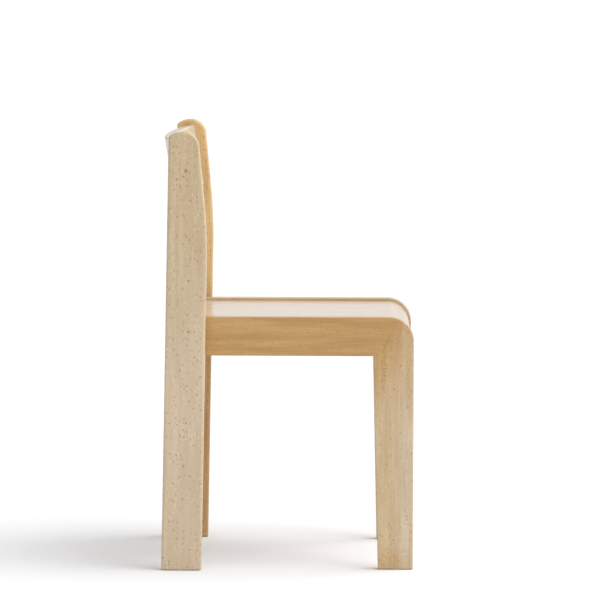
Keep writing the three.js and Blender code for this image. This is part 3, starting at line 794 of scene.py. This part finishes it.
def heartwood(finish):
    """Share of brown heartwood: the rail's wood, which runs over the joint and fades out down the leg.

    Also how far forward a place lies, and how much of the brown its side of the chair has: the left side
    keeps less, painted light that makes the left rail's inner face, in shade beside the seat, paler.
    """
    sway_cell = 0.030, 0.014, 0.060
    sway_forward, sway_up = 0.02, 0.05
    slope = 0.25
    slant_range = 0.306, 0.372
    height_range = 0.275, 0.445
    full_share = 0.72
    # Painted light: the left side keeps less brown, so its rail's inner face, shaded beside the seat, shows
    # paler
    left_painted_light = 0.85
    middle = -0.05, 0.05
    x, y, z = finish.parts(finish.placed())
    sway = finish.noise(finish.placed(), sway_cell, detail=3.0)
    forward = REAR - y + sway * sway_forward
    slant = forward - z * slope
    inner = 1 - finish.smooth(slant, *slant_range) * full_share
    upper = finish.smooth(z + sway * sway_up, *height_range)
    brown = 1 - finish.smooth(x, *middle) * left_painted_light
    return inner * upper, forward, brown


def joint_specks(finish, colour, colours):
    """The colour with dark and light specks along a line that bends over the joint and down the leg."""
    line_place = 0.4045
    line_width = 0.0008, 0.0038
    bend_height, bend_slope = 0.405, 0.36
    sway_size, sway_reach = 0.020, 0.004
    lower_end = 0.335, 0.350
    upper_end = 0.440, 0.455
    speck_cell = 0.020, 0.0022, 0.0034
    dark_range = 0.50, 0.62
    light_range = 0.34, 0.46
    strength = 0.7
    vector = finish.placed()
    _, y, z = finish.parts(vector)
    bend = finish.maths("MAXIMUM", z - bend_height, 0.0) * bend_slope
    sway = finish.noise(vector, cube(sway_size)) * sway_reach
    off = finish.maths("ABSOLUTE", (REAR - y) - bend - line_place - sway)
    line = 1 - finish.smooth(off, *line_width)
    line = line * finish.smooth(z, *lower_end) * (1 - finish.smooth(z, *upper_end))
    specks = finish.noise(vector, speck_cell)
    dark = line * finish.smooth(specks, *dark_range)
    light = line * (1 - finish.smooth(specks, *light_range))
    colour = finish.blend(dark * strength, colour, opaque(colours.knot_line))
    return finish.blend(light * strength, colour, finish.scaled(colour, LIGHT_SPECK))


def joint_tones(finish, brown, colours):
    """Lightest and darkest colour of wood that turns from pale to brown."""
    pale = finish.blend(brown, opaque(colours.leg_pale), opaque(colours.rail_pale))
    deep = finish.blend(brown, opaque(colours.leg_deep), opaque(colours.rail_deep))
    return pale, deep


def leg_finish(colours, grain):
    """Pale beech below the joint, brown beside it, with a paler front edge and a warmer foot."""
    foot_range = 0.010, 0.050
    foot_brown = 0.42
    front_range = 0.425, 0.455
    front_fade = 0.20, 0.38
    front_loss = 0.85
    finish = Finish("Beech leg", LACQUER)
    # The side's brown share is cut on the left, painted light that makes the left frame paler
    heart, forward, side_brown_and_light = heartwood(finish)
    _, _, z = finish.parts(finish.placed())
    foot = (1 - finish.smooth(z, *foot_range)) * foot_brown
    brown = finish.maths("MAXIMUM", heart * side_brown_and_light, foot)
    pale, deep = joint_tones(finish, brown, colours)
    front = finish.smooth(forward, *front_range) * (1 - brown)
    front = front * (1 - finish.smooth(z, *front_fade) * front_loss)
    pale = finish.blend(front, pale, opaque(colours.front_pale))
    deep = finish.blend(front, deep, opaque(colours.front_deep))
    vector = finish.placed(pith=(0.17, 0.31, 0.0))
    colour, rough, height = beech(
        finish, grain, vector, (pale, deep), ring=0.0031, slope=0.014, late=0.18, flecks=0.5
    )
    colour = joint_specks(finish, colour, colours)
    return finish.finished(colour, rough, height, grain.lacquer_relief)


def rail_finish(colours, grain):
    """Warm brown beech, flat sawn, so that its rings run as long arches. It pales beside the joint."""
    joint_range = 0.345, 0.392
    finish = Finish("Beech rail", LACQUER)
    # The side's brown share is cut on the left, painted light that makes the left rail paler
    heart, forward, side_brown_and_light = heartwood(finish)
    brown = (1 - (1 - heart) * finish.smooth(forward, *joint_range)) * side_brown_and_light
    vector = finish.placed(ALONG_Y, (0.19, 0.425, 0.0))
    tones = joint_tones(finish, brown, colours)
    colour, rough, height = beech(
        finish, grain, vector, tones, ring=0.0058, slope=0.03, late=0.35, flecks=0.25
    )
    colour = joint_specks(finish, colour, colours)
    return finish.finished(colour, rough, height, grain.lacquer_relief)


def plies(finish, depth, thickness):
    """1 in the darker layers that show on a plywood edge, 0 in the lighter ones and both face veneers."""
    soft_edge = 0.25
    face_end = FACE_VENEER * 1.2
    wave = finish.maths("SINE", depth * (math.pi * LAYERS / thickness))
    dark = finish.smooth(wave, -soft_edge, soft_edge)
    below_face = finish.smooth(depth, FACE_VENEER, face_end)
    below_back = 1 - finish.smooth(depth, thickness - face_end, thickness - FACE_VENEER)
    return dark * below_face * below_back


def seat_places(finish, s, level):
    """Places on the bent seat: across it, below its face, and along its face as if it were laid flat.

    Forward and up are measured from the bend's centre, and count on their own side only. Below the face
    is the bend's radius less sqrt(forward^2 + up^2). Along the face is the flat part, then radius * angle
    round the bend, then the turned-down front.
    """
    x, y, z = finish.parts(finish.placed())
    radius = level.seat_bend
    forward = (REAR - y) - (level.seat_front - radius)
    up = z - (level.seat_top - radius)
    ahead = finish.maths("MAXIMUM", forward, 0.0)
    above = finish.maths("MAXIMUM", up, 0.0)
    within = finish.maths("MINIMUM", finish.maths("MAXIMUM", forward, up), 0.0)
    below = radius - ((ahead * ahead + above * above) ** 0.5 + within)
    flat = finish.maths("MINIMUM", forward, 0.0)
    fall = finish.maths("MINIMUM", up, 0.0)
    along = flat + finish.maths("ARCTAN2", ahead, above) * radius - fall
    return x, below, along


def seat_finish(s, level, colours, grain):
    """Beech veneer, its grain from the rear over the bend, where painted shade darkens it, with layers on
    its edges.
    """
    pith_beside, pith_below = 0.03, 0.066
    finish = Finish("Beech veneer", LACQUER)
    across, below, along = seat_places(finish, s, level)
    vector = finish.joined(across + pith_beside, below - pith_below, along)
    tones = opaque(colours.veneer_pale), opaque(colours.veneer_deep)
    colour, rough, height = beech(
        finish, grain, vector, tones, ring=0.0046, slope=0.02, late=0.25, flecks=0.35
    )
    # Painted shade on the bend and turned-down front, which the key light would otherwise show brighter
    bent = finish.smooth(along, *BEND_SHADE_RANGE)
    colour = finish.blend(bent, colour, finish.scaled(colour, BEND_PAINTED_SHADE))
    layers = plies(finish, below, s.seat_thickness)
    colour = finish.blend(layers * LAYER_STRENGTH, colour, opaque(colours.ply_dark))
    rough = rough + layers * LAYER_ROUGHNESS
    height = height - layers * LAYER_RELIEF
    return finish.finished(colour, rough, height, grain.lacquer_relief)


def back_finish(colours, grain):
    """Bent beech of the back, its grain from post to post."""
    finish = Finish("Bent beech", THIN_LACQUER)
    vector = finish.placed(ALONG_X, (0.62, 0.12, 0.0))
    tones = opaque(colours.back_pale), opaque(colours.back_deep)
    colour, rough, height = beech(
        finish, grain, vector, tones, ring=0.0046, slope=0.02, late=0.3, flecks=0.45
    )
    return finish.finished(colour, rough, height, grain.lacquer_relief)


def plain_finish(name, colours, grain):
    """Planed beech under the seat, its grain from side to side, sealed but not polished."""
    finish = Finish(name, SEALED)
    vector = finish.placed(ALONG_X, (0.11, 0.07, 0.0))
    tones = opaque(colours.plain_pale), opaque(colours.plain_deep)
    colour, rough, height = beech(
        finish, grain, vector, tones, ring=0.0038, slope=0.02, late=0.35, flecks=0.6
    )
    return finish.finished(colour, rough + PLANED_ROUGHNESS, height, grain.planed_relief)


def zinc_finish(colours, grain):
    """Zinc plating: fine spangle and duller, rougher spots."""
    spangle_size, spot_size = 0.0011, 0.0031
    spot_range = 0.5, 0.7
    dull_spots, dull_spangle = 0.6, 0.2
    rough_spots, rough_spangle = 0.2, 0.15
    smoothest = 0.22
    finish = Finish("Zinc plated steel", {"Metallic": 1.0})
    vector = finish.placed()
    spangle = finish.noise(vector, cube(spangle_size), detail=4.0, rough=0.6)
    spots = finish.smooth(finish.noise(vector, cube(spot_size)), *spot_range)
    dull = spots * dull_spots + spangle * dull_spangle
    colour = finish.blend(dull, opaque(colours.zinc), opaque(colours.zinc_dull))
    rough = spots * rough_spots + spangle * rough_spangle + smoothest
    return finish.finished(colour, rough, spangle, grain.zinc_relief)


def nylon_finish(colours, grain):
    """Nylon, scuffed on its running face."""
    running_face = 0.0002, 0.0012
    scuff_cell = 0.0008, 0.006, 0.006
    scuff_range = 0.45, 0.65
    mottle_size, mottle_share = 0.004, 0.2
    worn_roughness = 0.25
    smoothest = 0.38
    finish = Finish("Nylon glide", {"Specular IOR Level": 0.4})
    vector = finish.placed()
    _, _, z = finish.parts(vector)
    scuffs = finish.noise(vector, scuff_cell, detail=4.0, rough=0.7)
    under = 1 - finish.smooth(z, *running_face)
    mottle = finish.noise(vector, cube(mottle_size)) * mottle_share
    worn = finish.smooth(scuffs, *scuff_range) * under + mottle
    colour = finish.blend(worn, opaque(colours.nylon), opaque(colours.nylon_worn))
    rough = worn * worn_roughness + smoothest
    return finish.finished(colour, rough, scuffs, grain.nylon_relief)


def floor_finish(colours, grain):
    """A plain pale floor with the faintest mottling."""
    mottle_size = 0.4
    darker_share = 0.985
    rough_mottle = 0.05
    smoothest = 0.8
    finish = Finish("Pale floor", {"Specular IOR Level": 0.1})
    mottle = finish.noise(finish.placed(), cube(mottle_size), detail=3.0)
    darker = tuple(value * darker_share for value in colours.floor)
    colour = finish.blend(mottle, opaque(colours.floor), opaque(darker))
    rough = mottle * rough_mottle + smoothest
    return finish.finished(colour, rough, mottle, grain.floor_relief)


def studio_world(colours, stage):
    """Light from all round: a little more from the front and the left, and less from behind the chair."""
    world = bpy.data.worlds.new("Studio")
    world.use_nodes = True
    nodes = Nodes(world.node_tree)
    x, y, _ = nodes.parts(nodes.placed())
    behind = nodes.smooth(y, 0.0, stage.light_rear_turn) * stage.light_rear_loss
    strength = x * stage.light_left - y * stage.light_front - behind + stage.light_round
    values = {"Color": opaque(colours.backdrop), "Strength": strength}
    light = nodes.node("ShaderNodeBackground", None, values)
    output = nodes.node("ShaderNodeOutputWorld")
    nodes.tree.links.new(light.outputs["Background"], output.inputs["Surface"])
    return world


# Pieces' outlines


def rear_edge(s, height):
    """How far forward a post's rear edge lies at a height."""
    return height * math.tan(s.post_lean)


def upper_front_edge(s, level, height):
    """How far forward a post's front edge lies at a height above the knee."""
    lean = math.tan(s.post_front_lean)
    return s.post_depth + rear_edge(s, level.knee) - (height - level.knee) * lean


def post_outline(s, level):
    """A post's outline from its rear foot, anticlockwise.

    Above the rounded front, the crown is an arc that falls to the rear edge. A smaller arc touches both:
    its centre lies at its radius inside the rear edge, and at the difference of the radii from the crown's.
    """
    foot_rear = np.array([rear_edge(s, s.glide_stand), s.glide_stand])
    foot_front = foot_rear + [s.post_depth, 0]
    knee = [s.post_depth + rear_edge(s, level.knee), level.knee]
    shoulder_height = level.top - s.post_top_radius
    front = [upper_front_edge(s, level, shoulder_height), shoulder_height]
    shoulder = [front[0] - s.post_top_radius / math.cos(s.post_front_lean), shoulder_height]
    run = shoulder[0] - rear_edge(s, level.top - s.post_crown_drop)
    crown_radius = (run**2 + s.post_crown_drop**2) / (2 * s.post_crown_drop)
    crown = np.array([shoulder[0], level.top - crown_radius])
    inwards = np.array([math.cos(s.post_lean), -math.sin(s.post_lean)])
    upwards = np.array([math.sin(s.post_lean), math.cos(s.post_lean)])
    aside = crown @ inwards - s.post_corner_radius
    above = math.sqrt((crown_radius - s.post_corner_radius) ** 2 - aside**2)
    corner = crown - inwards * aside + upwards * above
    crown_end = math.atan2(*(corner - crown)[::-1])
    upright, rearwards = math.pi / 2, math.pi - s.post_lean
    stretches = [
        foot_rear[None],
        foot_front[None],
        rounded(foot_front, knee, front, s.knee_radius, BEND_STEPS),
        arc(shoulder, s.post_top_radius, s.post_front_lean, upright, CORNER_STEPS),
        arc(crown, crown_radius, upright, crown_end, BEND_STEPS)[1:],
        arc(corner, s.post_corner_radius, crown_end, rearwards, BEND_STEPS)[1:],
    ]
    return np.concatenate(stretches)


def finger_line(s, level, sign):
    """The fingers' zigzag from the inner corner outwards, moved half a glue gap to one side of its middle.

    Along and across the mitre, which runs from the inner corner towards the rounded outer one, the points
    alternate between half a finger's length on one side and on the other. A flank is half a pitch less a
    tip, and the line starts in the middle of one, so the fingers take their count and a quarter of pitches.
    """
    start = np.array([level.leg_rear_top, level.rail_bottom])
    along = np.array([s.leg_top_depth, s.rail_height])
    along /= np.linalg.norm(along)
    across = np.array([-along[1], along[0]])
    centre = np.array([DEPTH, s.frame_height]) - s.frame_corner_radius - start
    reach = s.finger_length / 2
    full = centre @ along + math.sqrt(s.frame_corner_radius**2 - (centre @ across) ** 2)
    pitch = (full - s.finger_shoulder + s.finger_tip / 2) / (s.finger_count + 1 / 4)
    flank = pitch / 2 - s.finger_tip
    first = flank / 2 + pitch * np.arange(s.finger_count)[:, None]
    steps = np.array([0, s.finger_tip, pitch / 2, pitch / 2 + s.finger_tip])
    places = np.append((first + steps).ravel(), flank / 2 + pitch * s.finger_count)
    sides = np.append(np.tile([reach, reach, -reach, -reach], s.finger_count), reach)
    line = np.stack([places, sides], axis=1)
    off = centre @ across - reach - sign * s.finger_gap / 2
    end = centre @ along + math.sqrt(s.frame_corner_radius**2 - off**2)
    line = np.concatenate([[[0, 0]], line, [[end, reach]]])
    run = np.diff(line, axis=0)
    run /= np.linalg.norm(run, axis=1, keepdims=True)
    normal = np.stack([-run[:, 1], run[:, 0]], axis=1)
    before = np.concatenate([normal[:1], normal])
    after = np.concatenate([normal, normal[-1:]])
    shift = (before + after) / (1 + (before * after).sum(axis=1, keepdims=True))
    line = line + shift * sign * s.finger_gap / 2
    points = start + line[:, :1] * along + line[:, 1:] * across
    points[0] = start - [s.finger_gap if sign > 0 else 0, 0]
    return points


def corner_arc(s, start, end):
    """The rounded outer corner of rail and leg, between two of its points."""
    centre = np.array([DEPTH, s.frame_height]) - s.frame_corner_radius
    turn = [math.atan2(*(point - centre)[::-1]) for point in (start, end)]
    return arc(centre, s.frame_corner_radius, *turn, CORNER_STEPS)


def rail_outline(s, level):
    """A side rail's outline, anticlockwise, and which of its sides are plain: those of the joint."""
    fingers = finger_line(s, level, 1)
    top = s.frame_height
    above = np.array([DEPTH - s.frame_corner_radius, top])
    corner = corner_arc(s, fingers[-1], above)
    rear_low = np.array([[s.rail_rear, level.rail_bottom]])
    rear_high = np.array([[s.rail_rear, top]])
    points = np.concatenate([rear_low, fingers[:-1], corner, rear_high])
    plain = np.zeros(len(points), bool)
    plain[1 : len(fingers)] = True
    return points, plain


def leg_outline(s, level):
    """A front leg's outline, anticlockwise, and which of its sides are plain: its foot and the joint's.

    A short side beside the inner corner isn't plain, so that the corner is rounded as the rear side is.
    """
    short = 0.01 * MILLIMETRE
    fingers = finger_line(s, level, -1)
    low = s.glide_stand
    foot = np.array([[DEPTH - s.leg_foot_depth, low], [DEPTH, low]])
    side = np.array([DEPTH, s.frame_height - s.frame_corner_radius])
    corner = corner_arc(s, side, fingers[-1])
    inner = fingers[0]
    beside = inner - [short, 0]
    points = np.concatenate([foot, corner, fingers[-2:0:-1], beside[None], inner[None]])
    plain = np.zeros(len(points), bool)
    plain[0] = True
    plain[1 + len(corner) : len(points) - 2] = True
    return points, plain


def seat_outline(s, level):
    """The seat's section: flat, bent down at the front, with rounded edges."""
    edge = s.seat_edge_radius
    front = level.seat_front
    behind = front - s.seat_thickness
    low = level.seat_top - s.seat_front_height
    corners = [
        (s.seat_rear, level.seat_under, edge),
        (behind, level.seat_under, level.seat_bend - s.seat_thickness),
        (behind, low, edge),
        (front, low, edge),
        (front, level.seat_top, level.seat_bend),
        (s.seat_rear, level.seat_top, edge),
    ]
    return rounded_outline(corners, SEAT_STEPS)


def back_surface(s, level):
    """The back: a rounded rectangle carried along an arc between the posts, then leaned back.

    Each row is a point of the section, at depth e behind the face and y below the top. Its arc has the
    radius R + e and ends where its half width is that between the posts, so that the ends are flat.
    """
    half = level.post_inner - s.glue_gap
    radius = (half**2 + s.back_sagitta**2) / (2 * s.back_sagitta)
    top = level.top - s.back_top_drop
    face = upper_front_edge(s, level, top) - s.back_setback
    low, deep, edge = -s.back_height, s.back_thickness, s.back_edge_radius
    corners = [(0, 0, edge), (0, low, edge), (deep, low, edge), (deep, 0, edge)]
    section = rounded_outline(corners, ROUNDING_STEPS)
    reach = np.arcsin(half / (radius + section[:, 0]))
    turn = np.linspace(-1, 1, BACK_STEPS + 1)[None, :] * reach[:, None]
    out = (radius + section[:, :1]) * np.ones_like(turn)
    ahead = (radius - s.back_sagitta) - out * np.cos(turn)
    w = out * np.sin(turn)
    y = section[:, 1:] * np.ones_like(turn)
    cos, sin = math.cos(s.back_lean), math.sin(s.back_lean)
    points = np.stack([face + ahead * cos - y * sin, top + ahead * sin + y * cos, w], axis=-1)
    return points.reshape(-1, 3), capped_grid(*turn.shape)


def cross_rail_outline(s, level, rear, front, bend):
    """A cross rail's section. The front one's upper front edge follows the inside of the seat's bend."""
    low, high = level.cross_bottom, level.under_seat
    corners = [
        (rear, low, s.cross_rail_edge),
        (front, low, s.cross_rail_edge),
        (front, high, bend),
        (rear, high, s.cross_rail_top_edge),
    ]
    return rounded_outline(corners, ROUNDING_STEPS)


def block_outline(s, level, towards, sign):
    """A corner block's outline in plan, (u, w), anticlockwise: two glued faces and a slanting one.

    Towards is -1 for a block behind the front cross rail and 1 for one in front of the rear cross rail.
    """
    wall = sign * (level.frame_inner - s.glue_gap)
    if towards < 0:
        start = level.front_rail_rear - s.glue_gap
    else:
        start = level.rear_rail_front + s.glue_gap
    leg, tip = s.block_leg, s.block_tip
    shape = np.array([[0, 0], [leg, 0], [leg, tip], [tip, leg], [0, leg]])
    outline = np.array([start, wall]) + shape * [towards, -sign]
    return outline if towards * sign < 0 else outline[::-1]


def cross_recess(s):
    """The depth of a screw's cross recess: it falls off beside the cross's arms and towards their ends.

    An arm's share is (arm - distance beside its middle) / flank, from 0 to 1. The fall towards the end is
    (1 - radius / reach) to the power of the fall. Below the head's rim there is no recess.
    """
    quarter = math.pi / 2
    fall = 0.6

    def recess(radius, turn, along):
        off_arm = (turn + quarter / 2) % quarter - quarter / 2
        beside = np.abs(radius * np.sin(off_arm))
        arm = np.clip((s.recess_arm - beside) / s.recess_flank, 0, 1)
        middle = np.clip(1 - radius / s.recess_reach, 0, 1) ** fall
        return s.recess_depth * arm * middle * (along < s.screw_rim)

    return recess


def screw_profile(s, long):
    """From the middle of the domed head, over its rim and down the cone and shank to the point."""
    radius = np.linspace(0, s.screw_head, BEND_STEPS + 1)
    dome = -s.screw_dome * (1 - (radius / s.screw_head) ** 2) + s.screw_sink
    rest = [
        (s.screw_head, s.screw_rim),
        (s.screw_radius, s.screw_head_depth),
        (s.screw_radius, long - s.screw_point),
        (0, long),
    ]
    return np.concatenate([np.stack([radius, dome], axis=1), rest])


def screw_place(node):
    """The place of a screw's head, its direction and its length, from its CAD node.

    Its axis is its longest side, and its head is at its wider end.
    """
    close = 0.01 * MILLIMETRE
    low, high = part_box(node)
    axis = int(np.argmax(high - low))
    mesh = NODES[node].data
    spots = np.empty(3 * len(mesh.vertices), np.float32)
    mesh.vertices.foreach_get("co", spots)
    spots = spots.reshape(-1, 3)
    ends = [low[axis], high[axis]]
    widths = [np.ptp(spots[np.abs(spots[:, axis] - end) < close], axis=0).max() for end in ends]
    head, point = ends if widths[0] > widths[1] else ends[::-1]
    place = np.array((low + high) / 2)
    place[axis] = head
    direction = np.zeros(3)
    direction[axis] = np.sign(point - head)
    return place, direction, abs(point - head)


def glide_profile(s):
    """From the middle of the running face, over its rounded edge and the head to the end of the pin."""
    top = s.glide_cap
    end = s.glide_cap + s.glide_pin_length
    middle = [s.glide_radius - s.glide_edge, s.glide_edge]
    edge = arc(middle, s.glide_edge, -math.pi / 2, 0, GLIDE_EDGE_STEPS)
    rest = [(s.glide_radius, top), (s.glide_pin, top), (s.glide_pin, end), (0, end)]
    return np.concatenate([[[0, 0]], edge, rest])


def camera_turn(yaw, pitch, roll):
    """A camera that looks to the sitter's left, turned by yaw, then downwards by pitch, then by roll."""
    ahead = Vector((math.cos(yaw), -math.sin(yaw), 0)) * math.cos(pitch)
    ahead.z = -math.sin(pitch)
    right = Vector((-math.sin(yaw), -math.cos(yaw), 0))
    rolled = right * math.cos(roll) + right.cross(ahead) * math.sin(roll)
    return Matrix((rolled, rolled.cross(ahead), -ahead)).transposed().to_4x4()


# Operators


class ChairOperator(bpy.types.Operator):
    """What the chair's operators share."""

    bl_options = {"REGISTER", "UNDO"}

    def read(self, context):
        """Notes the colours and the grain, and returns the sizes with the heights worked out from them."""
        scene = context.scene
        self.colours = scene.chair_colours
        self.grain = scene.chair_grain
        return scene.chair_sizes, levels(scene.chair_sizes)


class CHAIR_OT_posts(ChairOperator):
    """Makes both posts, with their knee and crowned top"""

    bl_idname = "chair.posts"
    bl_label = "Posts"

    def execute(self, context):
        s, level = self.read(context)
        outline = post_outline(s, level)
        plain = np.zeros(len(outline), bool)
        plain[0] = True
        for side, sign in SIDES:
            finish = post_finish(side, self.colours, self.grain)
            across = sign * level.post_middle
            points, faces = board(outline, plain, s.post_thickness, s.post_arris, across)
            new_piece(f"post_{side}_board", f"post_{side}", points, faces, finish)
        return {"FINISHED"}


class CHAIR_OT_side_frames(ChairOperator):
    """Makes the side rails and front legs, with the finger joints between them"""

    bl_idname = "chair.side_frames"
    bl_label = "Side rails and front legs"

    def execute(self, context):
        s, level = self.read(context)
        rail = rail_finish(self.colours, self.grain)
        leg = leg_finish(self.colours, self.grain)
        kinds = (
            ("side_rail", rail_outline(s, level), "beech_rail", rail),
            ("front_leg", leg_outline(s, level), "beech_leg", leg),
        )
        for kind, (outline, plain), slot, finish in kinds:
            for side, sign in SIDES:
                across = sign * level.frame_middle
                points, faces = board(outline, plain, s.frame_thickness, s.frame_arris, across)
                new_piece(f"{kind}_{side}_board", f"{kind}_{side}", points, faces, finish)
        return {"FINISHED"}


class CHAIR_OT_seat(ChairOperator):
    """Makes the moulded seat with its turned-down front"""

    bl_idname = "chair.seat"
    bl_label = "Seat"

    def execute(self, context):
        s, level = self.read(context)
        outline = seat_outline(s, level)
        plain = np.zeros(len(outline), bool)
        wide = 2 * (level.frame_inner - s.seat_side_gap)
        points, faces = board(outline, plain, wide, s.seat_side_edge, 0.0, SEAT_SIDE_STEPS)
        finish = seat_finish(s, level, self.colours, self.grain)
        new_piece("seat_panel_moulded", "seat_panel", points, faces, finish)
        return {"FINISHED"}


class CHAIR_OT_back(ChairOperator):
    """Makes the bent back between the posts"""

    bl_idname = "chair.back"
    bl_label = "Back"

    def execute(self, context):
        s, level = self.read(context)
        points, faces = back_surface(s, level)
        finish = back_finish(self.colours, self.grain)
        new_piece("back_panel_bent", "back_panel", points, faces, finish)
        return {"FINISHED"}


class CHAIR_OT_under_seat(ChairOperator):
    """Makes the cross rails and the corner blocks under the seat"""

    bl_idname = "chair.under_seat"
    bl_label = "Cross rails and corner blocks"

    def execute(self, context):
        s, level = self.read(context)
        finish = plain_finish("Planed beech", self.colours, self.grain)
        wide = 2 * (level.frame_inner - s.glue_gap)
        bend = level.seat_bend - s.seat_thickness - s.glue_gap
        rails = (
            ("front_cross_rail", level.front_rail_rear, level.front_rail_front, bend),
            ("rear_cross_rail", s.cross_rail_place, level.rear_rail_front, s.cross_rail_top_edge),
        )
        for node, rear, front, radius in rails:
            outline = cross_rail_outline(s, level, rear, front, radius)
            plain = np.zeros(len(outline), bool)
            points, faces = board(outline, plain, wide, s.cross_rail_end_edge, 0.0, RAIL_END_STEPS)
            new_piece(f"{node}_board", node, points, faces, finish)
        middle = level.under_seat - s.block_height / 2
        for end, towards in ENDS:
            for side, sign in SIDES:
                outline = block_outline(s, level, towards, sign)
                plain = np.zeros(len(outline), bool)
                lying, faces = board(outline, plain, s.block_height, s.block_edge, middle, BLOCK_EDGE_STEPS)
                points = lying[:, [0, 2, 1]]
                faces = [face[::-1] for face in faces]
                node = f"corner_block_{end}_{side}"
                new_piece(f"{node}_board", node, points, faces, finish)
        return {"FINISHED"}


class CHAIR_OT_screws(ChairOperator):
    """Makes the screws, with a cross recess in each domed head"""

    bl_idname = "chair.screws"
    bl_label = "Screws"

    def execute(self, context):
        s, _ = self.read(context)
        finish = zinc_finish(self.colours, self.grain)
        recess = cross_recess(s)
        for node in sorted(name for name in NODES if "_screw_" in name):
            place, direction, long = screw_place(node)
            points, faces = turned(screw_profile(s, long), place, direction, recess)
            points = from_frame(points)
            new_piece(f"{node}_turned", node, points, faces, finish, SCREW_CREASE)
        return {"FINISHED"}


class CHAIR_OT_glides(ChairOperator):
    """Makes the nylon glides under the feet"""

    bl_idname = "chair.glides"
    bl_label = "Glides"

    def execute(self, context):
        s, _ = self.read(context)
        finish = nylon_finish(self.colours, self.grain)
        profile = glide_profile(s)
        for node in sorted(name for name in NODES if name.startswith("glide_")):
            low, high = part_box(node)
            middle = (low + high) / 2
            points, faces = turned(profile, (middle.x, middle.y, 0.0), (0.0, 0.0, 1.0))
            points = from_frame(points)
            new_piece(f"{node}_turned", node, points, faces, finish)
        return {"FINISHED"}


class CHAIR_OT_dowels(ChairOperator):
    """Gives the dowels inside the joints their wood"""

    bl_idname = "chair.dowels"
    bl_label = "Dowels"

    def execute(self, context):
        self.read(context)
        finish = plain_finish("Turned beech", self.colours, self.grain)
        for node in sorted(name for name in NODES if "_dowel_" in name):
            materials = NODES[node].data.materials
            materials.clear()
            materials.append(finish)
        return {"FINISHED"}


class CHAIR_OT_stage(ChairOperator):
    """Makes the floor, the lights and the camera"""

    bl_idname = "chair.stage"
    bl_label = "Stage"

    def execute(self, context):
        self.read(context)
        scene = context.scene
        stage = scene.chair_stage
        self.floor(scene, stage)
        self.key_light(scene, stage)
        self.camera(scene, stage)
        scene.world = studio_world(self.colours, stage)
        scene.view_settings.view_transform = "Standard"
        return {"FINISHED"}

    def floor(self, scene, stage):
        corners = np.array([[-1, -1, 0], [1, -1, 0], [1, 1, 0], [-1, 1, 0]]) * stage.floor_reach
        mesh = bpy.data.meshes.new("floor")
        mesh.from_pydata(corners.tolist(), [], [(0, 1, 2, 3)])
        mesh.materials.append(floor_finish(self.colours, self.grain))
        floor = bpy.data.objects.new("floor", mesh)
        scene.collection.objects.link(floor)

    def key_light(self, scene, stage):
        """A sun that shines from its side of the chair and is spread over an angle."""
        lamp = bpy.data.lights.new("Soft key", "SUN")
        lamp.energy = stage.key_strength
        lamp.angle = stage.key_spread
        sun = bpy.data.objects.new("Soft key", lamp)
        sun.rotation_euler = Vector(stage.key_side).to_track_quat("Z", "Y").to_euler()
        scene.collection.objects.link(sun)

    def camera(self, scene, stage):
        camera = bpy.data.objects.new("Camera", bpy.data.cameras.new("Camera"))
        camera.data.sensor_width = stage.camera_sensor
        camera.data.lens = stage.camera_lens
        camera.data.clip_end = stage.camera_reach
        turn = camera_turn(stage.camera_yaw, stage.camera_pitch, stage.camera_roll)
        camera.matrix_world = Matrix.Translation(stage.camera_place) @ turn
        scene.collection.objects.link(camera)
        scene.camera = camera


class CHAIR_PT_panel(bpy.types.Panel):
    """Lists the chair's operators, sizes and colours"""

    bl_label = "Choir chair"
    bl_idname = "CHAIR_PT_panel"
    bl_space_type = "VIEW_3D"
    bl_region_type = "UI"
    bl_category = "Choir chair"

    def draw(self, context):
        for operator in OPERATORS:
            self.layout.operator(operator.bl_idname)
        for name in GROUPS:
            group = getattr(context.scene, name)
            column = self.layout.column(align=True)
            for setting in group.__annotations__:
                column.prop(group, setting)


GROUPS = {
    "chair_sizes": ChairSizes,
    "chair_colours": ChairColours,
    "chair_grain": ChairGrain,
    "chair_stage": ChairStage,
}
OPERATORS = (
    CHAIR_OT_posts,
    CHAIR_OT_side_frames,
    CHAIR_OT_seat,
    CHAIR_OT_back,
    CHAIR_OT_under_seat,
    CHAIR_OT_screws,
    CHAIR_OT_glides,
    CHAIR_OT_dowels,
    CHAIR_OT_stage,
)
CLASSES = (*GROUPS.values(), *OPERATORS, CHAIR_PT_panel)


def register():
    for kind in CLASSES:
        bpy.utils.register_class(kind)
    for name, group in GROUPS.items():
        setattr(bpy.types.Scene, name, PointerProperty(type=group))


def unregister():
    for name in GROUPS:
        delattr(bpy.types.Scene, name)
    for kind in reversed(CLASSES):
        bpy.utils.unregister_class(kind)


def main():
    """Registers the classes and builds the chair and its stage."""
    register()
    bpy.ops.chair.posts()
    bpy.ops.chair.side_frames()
    bpy.ops.chair.seat()
    bpy.ops.chair.back()
    bpy.ops.chair.under_seat()
    bpy.ops.chair.screws()
    bpy.ops.chair.glides()
    bpy.ops.chair.dowels()
    bpy.ops.chair.stage()


if __name__ == "__main__":
    main()
